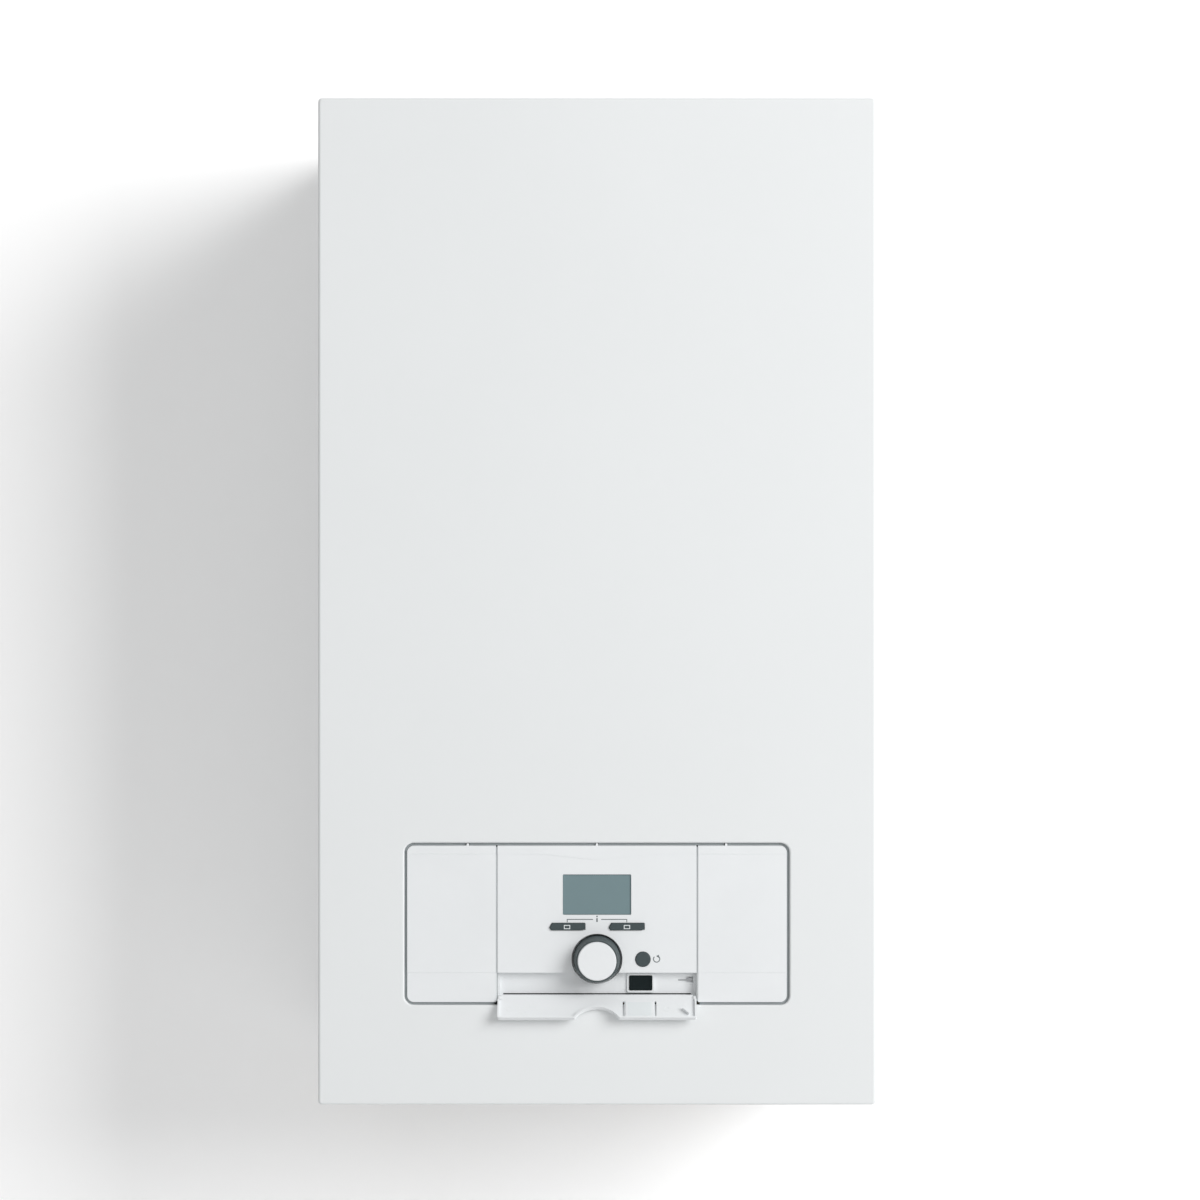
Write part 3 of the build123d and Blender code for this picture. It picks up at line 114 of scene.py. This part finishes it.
# The pieces whose sharp edges are softened, with the width of the rounding
SOFT_EDGES = {
    "control_fascia": 0.2,
    "side_blank_left": 0.26,
    "side_blank_right": 0.26,
    "flap": 0.2,
    "softkey_left": 0.12,
    "softkey_right": 0.12,
    "on_off_button": 0.2,
    "knob_body": 0.2,
    "knob_cap": 0.2,
    "reset_button": 0.15,
    "top_panel": 0.5,
}

# The pieces that only get even shading
SMOOTH_ONLY = [
    "front_casing", "side_panel_left", "side_panel_right", "back_panel", "wall_bracket",
    "flow_stub", "return_manifold", "discharge_pipe", "drain_cock", "cable_glands", "pipe_nuts",
    "safety_valve", "expansion_vessel", "heat_exchanger", "flow_pipe", "riser_pipe", "vessel_pipe",
    "pump_volute", "pump_motor", "casing_screws",
]


def place(x, height, y):
    """The point this many millimetres right of the middle, above the casing's underside and back."""
    return Vector((x * MM, y * MM, CASE_LOW.z + height * MM))


def measure(point):
    """The opposite of place: a point's millimetres to the right, up and back."""
    return point[0] / MM, (point[2] - CASE_LOW.z) / MM, point[1] / MM


HINGE = Vector(next(joint for joint in frame["joints"] if joint["name"] == "flap_hinge")["pos_m"])
HINGE_HEIGHT, HINGE_Y = measure(HINGE)[1:]


# Finishes


def new_finish(name, colour, roughness):
    """A material with a colour and a roughness on the shader's own sockets."""
    finish = bpy.data.materials.new(name)
    finish.use_nodes = True
    shader = finish.node_tree.nodes["Principled BSDF"]
    shader.inputs["Base Color"].default_value = (*colour, 1)
    shader.inputs["Roughness"].default_value = roughness
    return finish, shader


def noise(finish, scale, detail):
    """A noise pattern fixed to the object."""
    nodes, links = finish.node_tree.nodes, finish.node_tree.links
    where = nodes.new("ShaderNodeTexCoord")
    pattern = nodes.new("ShaderNodeTexNoise")
    pattern.inputs["Scale"].default_value = scale
    pattern.inputs["Detail"].default_value = detail
    links.new(where.outputs["Object"], pattern.inputs["Vector"])
    return pattern.outputs["Fac"]


def grain(finish, shader, scale, strength, depth):
    """A fine relief in the surface."""
    nodes, links = finish.node_tree.nodes, finish.node_tree.links
    bump = nodes.new("ShaderNodeBump")
    bump.inputs["Strength"].default_value = strength
    bump.inputs["Distance"].default_value = depth
    links.new(noise(finish, scale, 2), bump.inputs["Height"])
    links.new(bump.outputs["Normal"], shader.inputs["Normal"])


def mottle(finish, shader, colour, spread, scale):
    """Slow changes of tone and gloss, as on any real coat or moulding."""
    nodes, links = finish.node_tree.nodes, finish.node_tree.links
    tone = nodes.new("ShaderNodeValToRGB")
    tone.color_ramp.elements[0].position = 0.3
    tone.color_ramp.elements[1].position = 0.7
    tone.color_ramp.elements[0].color = (*[c * (1 - spread) for c in colour], 1)
    tone.color_ramp.elements[1].color = (*[min(1, c * (1 + spread)) for c in colour], 1)
    links.new(noise(finish, scale, 3), tone.inputs["Fac"])
    links.new(tone.outputs["Color"], shader.inputs["Base Color"])
    gloss = nodes.new("ShaderNodeMapRange")
    level = shader.inputs["Roughness"].default_value
    gloss.inputs["To Min"].default_value = level * 0.9
    gloss.inputs["To Max"].default_value = min(1, level * 1.1)
    links.new(noise(finish, scale * 6, 4), gloss.inputs["Value"])
    links.new(gloss.outputs["Result"], shader.inputs["Roughness"])


def powder_coat(name, colour):
    """Powder coat with its fine orange-peel waves."""
    finish, shader = new_finish(name, colour, 0.5)
    shader.inputs["Specular IOR Level"].default_value = 0.4
    mottle(finish, shader, colour, 0.006, 6)
    grain(finish, shader, 420, 0.22, 0.00006)
    return finish


def moulding(name, colour, roughness, depth=0.00003, shine=0.5):
    """Moulded plastic with a fine spark-eroded texture."""
    finish, shader = new_finish(name, colour, roughness)
    shader.inputs["Specular IOR Level"].default_value = shine
    mottle(finish, shader, colour, 0.012, 25)
    grain(finish, shader, 2600, 0.25, depth)
    return finish


def metal(name, colour, roughness, scale):
    """Bare metal with rolling or casting marks."""
    finish, shader = new_finish(name, colour, roughness)
    shader.inputs["Metallic"].default_value = 1.0
    mottle(finish, shader, colour, 0.08, scale)
    grain(finish, shader, scale * 20, 0.15, 0.00005)
    return finish


def foam(name, colour):
    """Closed-cell foam with open cut cells."""
    finish, shader = new_finish(name, colour, 0.95)
    mottle(finish, shader, colour, 0.2, 40)
    grain(finish, shader, 900, 0.6, 0.0003)
    return finish


def lens_plastic(name):
    """The clear, lightly tinted lens over the display."""
    finish, shader = new_finish(name, (0.92, 0.95, 0.96), 0.06)
    shader.inputs["Transmission Weight"].default_value = 1.0
    shader.inputs["IOR"].default_value = 1.2
    grain(finish, shader, 60, 0.02, 0.00002)
    return finish


def crystal_panel(name, colour, gloss=0.3):
    """The switched-off liquid-crystal panel, with a faint fine grain."""
    finish, shader = new_finish(name, colour, gloss)
    mottle(finish, shader, colour, 0.02, 12)
    grain(finish, shader, 3000, 0.05, 0.00001)
    return finish


# The finish of each slot
FINISHES = {
    "white_steel": powder_coat("white powder coat", (0.835, 0.855, 0.860)),
    "white_plastic": moulding("white moulding", (0.845, 0.866, 0.878), 0.42),
    "grey_plastic": moulding("grey moulding", (0.052, 0.070, 0.074), 0.5, shine=0.3),
    "black_plastic": moulding("black moulding", (0.006, 0.011, 0.012), 0.6, shine=0.12),
    "relay_plastic": moulding("relay housing", (0.42, 0.43, 0.42), 0.5),
    "display_lens": lens_plastic("display lens"),
    "display_panel": crystal_panel("crystal panel", (0.215, 0.330, 0.352)),
    "circuit_board": moulding("circuit board", (0.02, 0.16, 0.06), 0.35),
    "zinc_steel": metal("galvanised sheet", (0.62, 0.63, 0.64), 0.42, 30),
    "bolt_steel": metal("plated fastener", (0.60, 0.60, 0.59), 0.32, 60),
    "tank_steel": metal("tank steel", (0.50, 0.50, 0.50), 0.38, 20),
    "vessel_paint": powder_coat("vessel enamel", (0.32, 0.022, 0.016)),
    "brass": metal("brass", (0.74, 0.56, 0.27), 0.33, 40),
    "copper": metal("copper", (0.78, 0.40, 0.27), 0.30, 35),
    "pump_iron": moulding("pump paint", (0.035, 0.042, 0.05), 0.55, 0.0002),
    "black_foam": foam("black foam", (0.018, 0.018, 0.018)),
    "seal_rubber": moulding("seal rubber", (0.02, 0.02, 0.02), 0.8),
}

# The finishes of the scene's own pieces, each a shade of its slot's
PRINTED_WHITE = moulding("white print", (0.80, 0.84, 0.85), 0.5)
PRINTED_GREY = moulding("grey print", (0.10, 0.12, 0.125), 0.5)
# The gap seal's mid-grey is painted shade for the gap round the control panel
GAP_SEAL_SHADE = moulding("gap seal painted shade", (0.34, 0.37, 0.38), 0.6)
# The groove lip's grey, darker than the white moulding, is painted shade for the grooves
GROOVE_LIP_SHADE = moulding("groove lip painted shade", (0.66, 0.69, 0.70), 0.5)
DISPLAY_GLASS = crystal_panel("glued display glass", (0.165, 0.245, 0.262), 0.2)
# The latch spring's dark grey is also painted shade in the latch pocket
LATCH_SHADE_STEEL = metal("latch spring painted shade", (0.30, 0.31, 0.32), 0.4, 60)

SLOT_OF = {part["node"]: part["material_slot"] for part in frame["record"]["subparts"]}
BODY_OF = {
    node: body
    for body, nodes in frame["record"]["behaviour"]["bodies"].items()
    for node in nodes
}


# Modelling steps


def only(piece):
    """Selects one piece and nothing else."""
    bpy.ops.object.select_all(action="DESELECT")
    piece.select_set(True)
    bpy.context.view_layer.objects.active = piece


def open_mesh(piece):
    """Goes into one piece's mesh with all of it selected."""
    only(piece)
    bpy.ops.object.mode_set(mode="EDIT")
    bpy.ops.mesh.select_all(action="SELECT")


def close_mesh():
    """Turns all faces outward and leaves the mesh."""
    bpy.ops.mesh.select_all(action="SELECT")
    bpy.ops.mesh.normals_make_consistent(inside=False)
    bpy.ops.object.mode_set(mode="OBJECT")


def settle(piece):
    """Puts the piece's place, turn and size into its mesh."""
    only(piece)
    bpy.ops.object.transform_apply(location=True, rotation=True, scale=True)
    return piece


def soften(piece, width):
    """Rounds the piece's sharp edges."""
    only(piece)
    rounding = piece.modifiers.new("edges", "BEVEL")
    rounding.width = width * MM
    rounding.segments = EDGE_STEPS
    rounding.limit_method = "ANGLE"
    rounding.angle_limit = EDGE
    bpy.ops.object.modifier_apply(modifier="edges")


def dress(piece, name, body, slot, finish=None):
    """Names a finished piece, gives it its finish and makes it ride on its body."""
    piece.name = name
    piece.data.name = name
    piece.data.materials.clear()
    piece.data.materials.append(finish or FINISHES[slot])
    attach(piece, body)


def paint_node(name):
    """Gives a carried-over CAD piece the finish of its slot."""
    node = frame["nodes"][name]
    node.data.materials.clear()
    node.data.materials.append(FINISHES[SLOT_OF[name]])


def refine(name, edge=0.0):
    """A CAD piece with its points welded and its curves smooth; where a width is given, its facets are also joined
    and its sharp edges softened.
    """
    node = frame["nodes"][name]
    piece = node.copy()
    piece.data = node.data.copy()
    piece.parent = None
    piece.matrix_world = node.matrix_world.copy()
    bpy.context.collection.objects.link(piece)
    open_mesh(piece)
    bpy.ops.mesh.remove_doubles(threshold=WELD)
    if edge:
        bpy.ops.mesh.dissolve_limited(angle_limit=FLAT)
    bpy.ops.object.mode_set(mode="OBJECT")
    if edge:
        soften(piece, edge)
    bpy.ops.object.shade_smooth_by_angle(angle=SHARP)
    flats = piece.modifiers.new("flats", "WEIGHTED_NORMAL")
    flats.keep_sharp = True
    flats.weight = 100
    bpy.ops.object.modifier_apply(modifier="flats")
    dress(piece, name + "_finished", BODY_OF[name], SLOT_OF[name])
    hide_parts(name)


def slab(x0, x1, low, high, front, thick, edge=0.0):
    """A thin plate seen from the front, with softened edges where a width is given."""
    middle = place((x0 + x1) / 2, (low + high) / 2, front + thick / 2)
    size = ((x1 - x0) * MM, thick * MM, (high - low) * MM)
    bpy.ops.mesh.primitive_cube_add(size=1, location=middle, scale=size)
    piece = settle(bpy.context.object)
    if edge:
        soften(piece, edge)
    return piece


def arc(x, height, radius, width, start, sweep, middle, thick):
    """A flat ring or part of one, spun clockwise from a small section, as seen from the front."""
    centre = place(x, height, middle)
    turn = radians(start)
    at = centre + Vector((cos(turn) * radius * MM, 0, sin(turn) * radius * MM))
    bpy.ops.mesh.primitive_plane_add(size=1, location=at, rotation=(0, -turn, 0))
    piece = bpy.context.object
    piece.scale = (width * MM, thick * MM, 1)
    open_mesh(settle(piece))
    bpy.ops.mesh.delete(type="ONLY_FACE")
    bpy.ops.mesh.select_all(action="SELECT")
    steps = max(8, int(sweep / 8))
    bpy.ops.mesh.spin(steps=steps, angle=-radians(sweep), center=centre, axis=(0, 1, 0))
    bpy.ops.mesh.select_all(action="SELECT")
    bpy.ops.mesh.remove_doubles(threshold=WELD)
    if sweep < 360:
        bpy.ops.mesh.fill_holes(sides=4)
    close_mesh()
    return piece


def outline(x0, x1, low, high, width, front, thick):
    """A thin rectangular outline seen from the front: a sheet, inset, opened and given its thickness."""
    middle = place((x0 + x1) / 2, (low + high) / 2, front)
    bpy.ops.mesh.primitive_plane_add(size=1, location=middle, rotation=(pi / 2, 0, 0))
    piece = bpy.context.object
    piece.scale = ((x1 - x0) * MM, (high - low) * MM, 1)
    open_mesh(settle(piece))
    bpy.ops.mesh.inset(thickness=width * MM, depth=0)
    bpy.ops.mesh.delete(type="FACE")
    bpy.ops.mesh.select_all(action="SELECT")
    bpy.ops.mesh.extrude_region_move(TRANSFORM_OT_translate={"value": (0, thick * MM, 0)})
    close_mesh()
    return piece


def join(pieces):
    """Makes one piece of several that stand apart."""
    bpy.ops.object.select_all(action="DESELECT")
    for piece in pieces:
        piece.select_set(True)
    bpy.context.view_layer.objects.active = pieces[0]
    bpy.ops.object.join()
    return pieces[0]


def fuse(whole, other):
    """Makes one closed piece of two that overlap."""
    only(whole)
    weld = whole.modifiers.new("weld", "BOOLEAN")
    weld.operation = "UNION"
    weld.solver = "EXACT"
    weld.object = other
    bpy.ops.object.modifier_apply(modifier="weld")
    bpy.data.objects.remove(other)
    return whole


# The object's own pieces


def key_icons():
    """The small framed mark on each soft key."""
    rise, thick, line = 0.04, 0.08, 0.55
    across, height, half_wide, half_high = 22.0, 130.8, 2.3, 1.5
    front = measure(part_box("softkey_left")[0])[2] - rise
    low, high = height - half_high, height + half_high
    for x, side in ((-across, "left"), (across, "right")):
        mark = outline(x - half_wide, x + half_wide, low, high, line, front, thick)
        dress(mark, "softkey_mark_" + side, side + "_key", "white_plastic", PRINTED_WHITE)


def reset_icon():
    """The round arrow printed beside the reset button."""
    x, height, radius, line, thick = 43.8, 107.2, 2.3, 0.65, 0.08
    start, sweep, arrow_radius, arrow_turn = 65, 290, 1.25, 35
    middle = FACE_Y - PRINT_RISE
    ring = arc(x, height, radius, line, start, sweep, middle, thick)
    tip = radians(start)
    bpy.ops.mesh.primitive_cone_add(
        vertices=3,
        radius1=arrow_radius * MM,
        radius2=arrow_radius * MM,
        depth=thick * MM,
        location=place(x + radius * cos(tip), height + radius * sin(tip), middle),
        rotation=(pi / 2, radians(arrow_turn), 0),
    )
    arrow = settle(bpy.context.object)
    dress(fuse(ring, arrow), "reset_mark", "boiler", "grey_plastic", PRINTED_GREY)


def key_lines():
    """The two fine brackets and the dot-and-stroke printed over the soft keys."""
    near, far, low, high = 3.0, 22.2, 134.2, 136.6
    line, thick = 0.6, 0.06
    front = FACE_Y - PRINT_RISE
    marks = []
    for side in (-1, 1):
        bar = slab(*sorted((side * near, side * far)), high - line, high, front, thick)
        # The leg is a little thinner than the bar and short of its end, so that no two faces coincide
        leg_ends = sorted((side * (far - 0.02), side * (far - line)))
        leg = slab(*leg_ends, low, high - line / 2, front + 0.005, thick - 0.01)
        marks.append(fuse(bar, leg))
    for foot, top in ((134.4, 137.2), (137.9, 139.0)):
        marks.append(slab(-0.5, 0.5, foot, top, front, thick))
    dress(join(marks), "key_lines", "boiler", "grey_plastic", PRINTED_GREY)


def lay_open(piece):
    """Turns a piece drawn on the shut flap to where the open flap holds it."""
    opened = Matrix.Rotation(radians(FLAP_OPEN), 4, "X")
    piece.matrix_world = Matrix.Translation(HINGE) @ opened @ Matrix.Translation(-HINGE)
    return settle(piece)


def mould_marks():
    """The ejector marks left in the flap's inner face."""
    line, thick, sink = 0.55, 0.32, 0.02
    middle = HINGE_Y + FLAP_INNER - sink
    marks = []
    for x, along, radius in MOULD_MARKS:
        marks.append(arc(x, HINGE_HEIGHT + along, radius, line, 0, 360, middle, thick))
    dress(lay_open(join(marks)), "flap_mould_marks", "flap_body", "white_plastic")


def flap_sticker():
    """A plain sticker with nothing on it, on the raised pad of the flap's springy tongue."""
    x0, x1, near, far = 22.6, 40.0, 4.2, 15.6
    pad, sink, thick, edge = 0.5, 0.03, 0.1, 0.03
    front = HINGE_Y + FLAP_INNER + pad - sink
    plate = slab(x0, x1, HINGE_HEIGHT + near, HINGE_HEIGHT + far, front, thick, edge)
    dress(lay_open(plate), "flap_sticker", "flap_body", "white_plastic", PRINTED_WHITE)


def gap_seal_shade():
    """The soft lip that closes the gap round the control panel, split where the lugs stand in it. Its mid-grey is
    also painted shade: it sets the tone of the shaded gap.
    """
    width, thick, seam = 1.7, 1, 0.15
    front = FACE_Y + 2.3
    corner_x = PANEL_HALF - PANEL_CORNER
    corner_low = PANEL_LOW + PANEL_CORNER
    corner_high = PANEL_HIGH - PANEL_CORNER
    # Each level run: where it starts and ends on either side, and its height
    runs = (
        (1.3, 93.6, PANEL_HIGH + GAP / 2),
        (96.4, corner_x - seam, PANEL_HIGH + GAP / 2),
        (75.5, corner_x - seam, PANEL_LOW - GAP / 2),
    )
    strips = []
    for side in (-1, 1):
        x = side * (PANEL_HALF + GAP / 2)
        ends = x - width / 2, x + width / 2
        strips.append(slab(*ends, corner_low + seam, corner_high - seam, front, thick))
        for near, far, height in runs:
            ends = sorted((side * near, side * far))
            strips.append(slab(*ends, height - width / 2, height + width / 2, front, thick))
        starts = (90, 0) if side > 0 else (180, 270)
        for start, height in zip(starts, (corner_high, corner_low)):
            corner = (side * corner_x, height, PANEL_CORNER + GAP / 2, width)
            strips.append(arc(*corner, start, 90, front + thick / 2, thick))
    dress(join(strips), "gap_seal_shade", "boiler", "seal_rubber", GAP_SEAL_SHADE)


def groove_lips_shade():
    """The narrow lips behind the two grooves between the centre moulding and the blanks. Their grey, darker than
    the white moulding, is painted shade for the grooves.
    """
    groove, half, low, high, sink, thick = 73.7, 0.5, 76.2, 189.6, 0.9, 1
    lips = []
    for x in (-groove, groove):
        lips.append(slab(x - half, x + half, low, high, FACE_Y + sink, thick))
    dress(join(lips), "groove_lips_shade", "boiler", "white_plastic", GROOVE_LIP_SHADE)


def latch_spring_shade():
    """The bent spring strip in the latch pocket that holds the flap's hook. Its dark grey is also painted shade in
    the pocket.
    """
    strip_y = FACE_Y + LOW_STEP + STRIP_DEPTH
    leaf = slab(59.8, 66.2, 90.6, 91.4, strip_y + 0.15, 0.3, edge=0.08)
    catch = slab(66.0, 70.4, 90.3, 92.7, strip_y + 0.1, 0.7, edge=0.15)
    dress(fuse(leaf, catch), "latch_spring_shade", "boiler", "bolt_steel", LATCH_SHADE_STEEL)


def display_glass():
    """The window and the switched-off display behind it, one glued sandwich just below the face."""
    (x0, low, flange), (x1, high, back) = (measure(corner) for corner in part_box("display_window"))
    sink, overlap = 1.0, 0.1
    front = FACE_Y + sink
    plate = slab(x0, x1, low, high, flange, back - flange, edge=0.1)
    step = slab(
        -GLASS_HALF_WIDE,
        GLASS_HALF_WIDE,
        DISPLAY_HEIGHT - GLASS_HALF_HIGH,
        DISPLAY_HEIGHT + GLASS_HALF_HIGH,
        front,
        flange - front + overlap,
        edge=0.08,
    )
    piece = fuse(plate, step)
    dress(piece, "display_glass", "boiler", "display_lens", DISPLAY_GLASS)
    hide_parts("display_window")


# The place of the photograph


def seen_directly(nodes, links):
    """One where the camera sees a surface, straight, in metal or through glass, and nought elsewhere."""
    rays = nodes.new("ShaderNodeLightPath")
    level = rays.outputs["Is Camera Ray"]
    for other in ("Is Glossy Ray", "Is Transmission Ray"):
        larger = nodes.new("ShaderNodeMath")
        larger.operation = "MAXIMUM"
        links.new(level, larger.inputs[0])
        links.new(rays.outputs[other], larger.inputs[1])
        level = larger.outputs[0]
    return level


def two_levels(nodes, links, otherwise, seen):
    """A value that is one thing where the camera looks and another for the light."""
    level = nodes.new("ShaderNodeMapRange")
    level.inputs["To Min"].default_value = otherwise
    level.inputs["To Max"].default_value = seen
    links.new(seen_directly(nodes, links), level.inputs["Value"])
    return level.outputs["Result"]


def stage():
    """A pale floor and a pale wall that catch the object's soft shadow and are clear from behind."""
    surface = bpy.data.materials.new("pale stage")
    surface.use_nodes = True
    nodes, links = surface.node_tree.nodes, surface.node_tree.links
    nodes.clear()
    out = nodes.new("ShaderNodeOutputMaterial")
    paint = nodes.new("ShaderNodeBsdfDiffuse")
    links.new(two_levels(nodes, links, WALL_PALE, WALL_SEEN), paint.inputs["Color"])
    clear = nodes.new("ShaderNodeBsdfTransparent")
    side = nodes.new("ShaderNodeNewGeometry")
    choose = nodes.new("ShaderNodeMixShader")
    links.new(side.outputs["Backfacing"], choose.inputs[0])
    links.new(paint.outputs[0], choose.inputs[1])
    links.new(clear.outputs[0], choose.inputs[2])
    links.new(choose.outputs[0], out.inputs["Surface"])
    for name, location, rotation in (
        ("wall", (0, WALL_Y, 0), (pi / 2, 0, 0)),
        ("floor", (0, FLOOR_Y, CASE_LOW.z - FLOOR_DROP), (0, 0, 0)),
    ):
        bpy.ops.mesh.primitive_plane_add(size=STAGE_SIZE, location=location, rotation=rotation)
        piece = bpy.context.object
        piece.name = name
        piece.data.materials.append(surface)


def lamp(name, turn, rise, away, size, power):
    """A square lamp aimed at the object, turned this many degrees to the right and raised this many."""
    light = bpy.data.lights.new(name, "AREA")
    light.size = size
    light.energy = power
    holder = bpy.data.objects.new(name, light)
    bpy.context.collection.objects.link(holder)
    aim = place(0, 370, -150)
    turn, rise = radians(turn), radians(rise)
    toward = Vector((sin(turn) * cos(rise), -cos(turn) * cos(rise), sin(rise)))
    holder.location = aim + away * toward
    holder.rotation_euler = (aim - holder.location).to_track_quat("-Z", "Y").to_euler()


def sky():
    """An even white sky, brighter to the camera than to the object."""
    world = bpy.data.worlds.new("sky")
    world.use_nodes = True
    nodes, links = world.node_tree.nodes, world.node_tree.links
    glow = nodes["Background"]
    glow.inputs["Color"].default_value = (1, 1, 1, 1)
    links.new(two_levels(nodes, links, SKY, 1.0), glow.inputs["Strength"])
    bpy.context.scene.world = world


def photo_camera():
    """The photograph's camera: straight on, from about two and a half metres."""
    lens = bpy.data.cameras.new("photo")
    lens.lens = LENS
    lens.sensor_width = SENSOR
    holder = bpy.data.objects.new("photo", lens)
    bpy.context.collection.objects.link(holder)
    holder.location = (CAMERA_RIGHT, CASE_LOW.y - CAMERA_AWAY, CASE_LOW.z + CAMERA_HEIGHT)
    holder.rotation_euler = (pi / 2, 0, 0)
    bpy.context.scene.camera = holder


photo_camera()
stage()
lamp("key", turn=44, rise=18, away=4.2, size=2.4, power=124)
lamp("fill", turn=-12, rise=20, away=3.6, size=2.4, power=3)
sky()

for name in frame["nodes"]:
    if name in SOFT_EDGES:
        refine(name, SOFT_EDGES[name])
    elif name in SMOOTH_ONLY:
        refine(name)
    else:
        paint_node(name)
key_icons()
reset_icon()
key_lines()
mould_marks()
flap_sticker()
gap_seal_shade()
groove_lips_shade()
latch_spring_shade()
display_glass()

bpy.context.scene.view_settings.view_transform = "Standard"
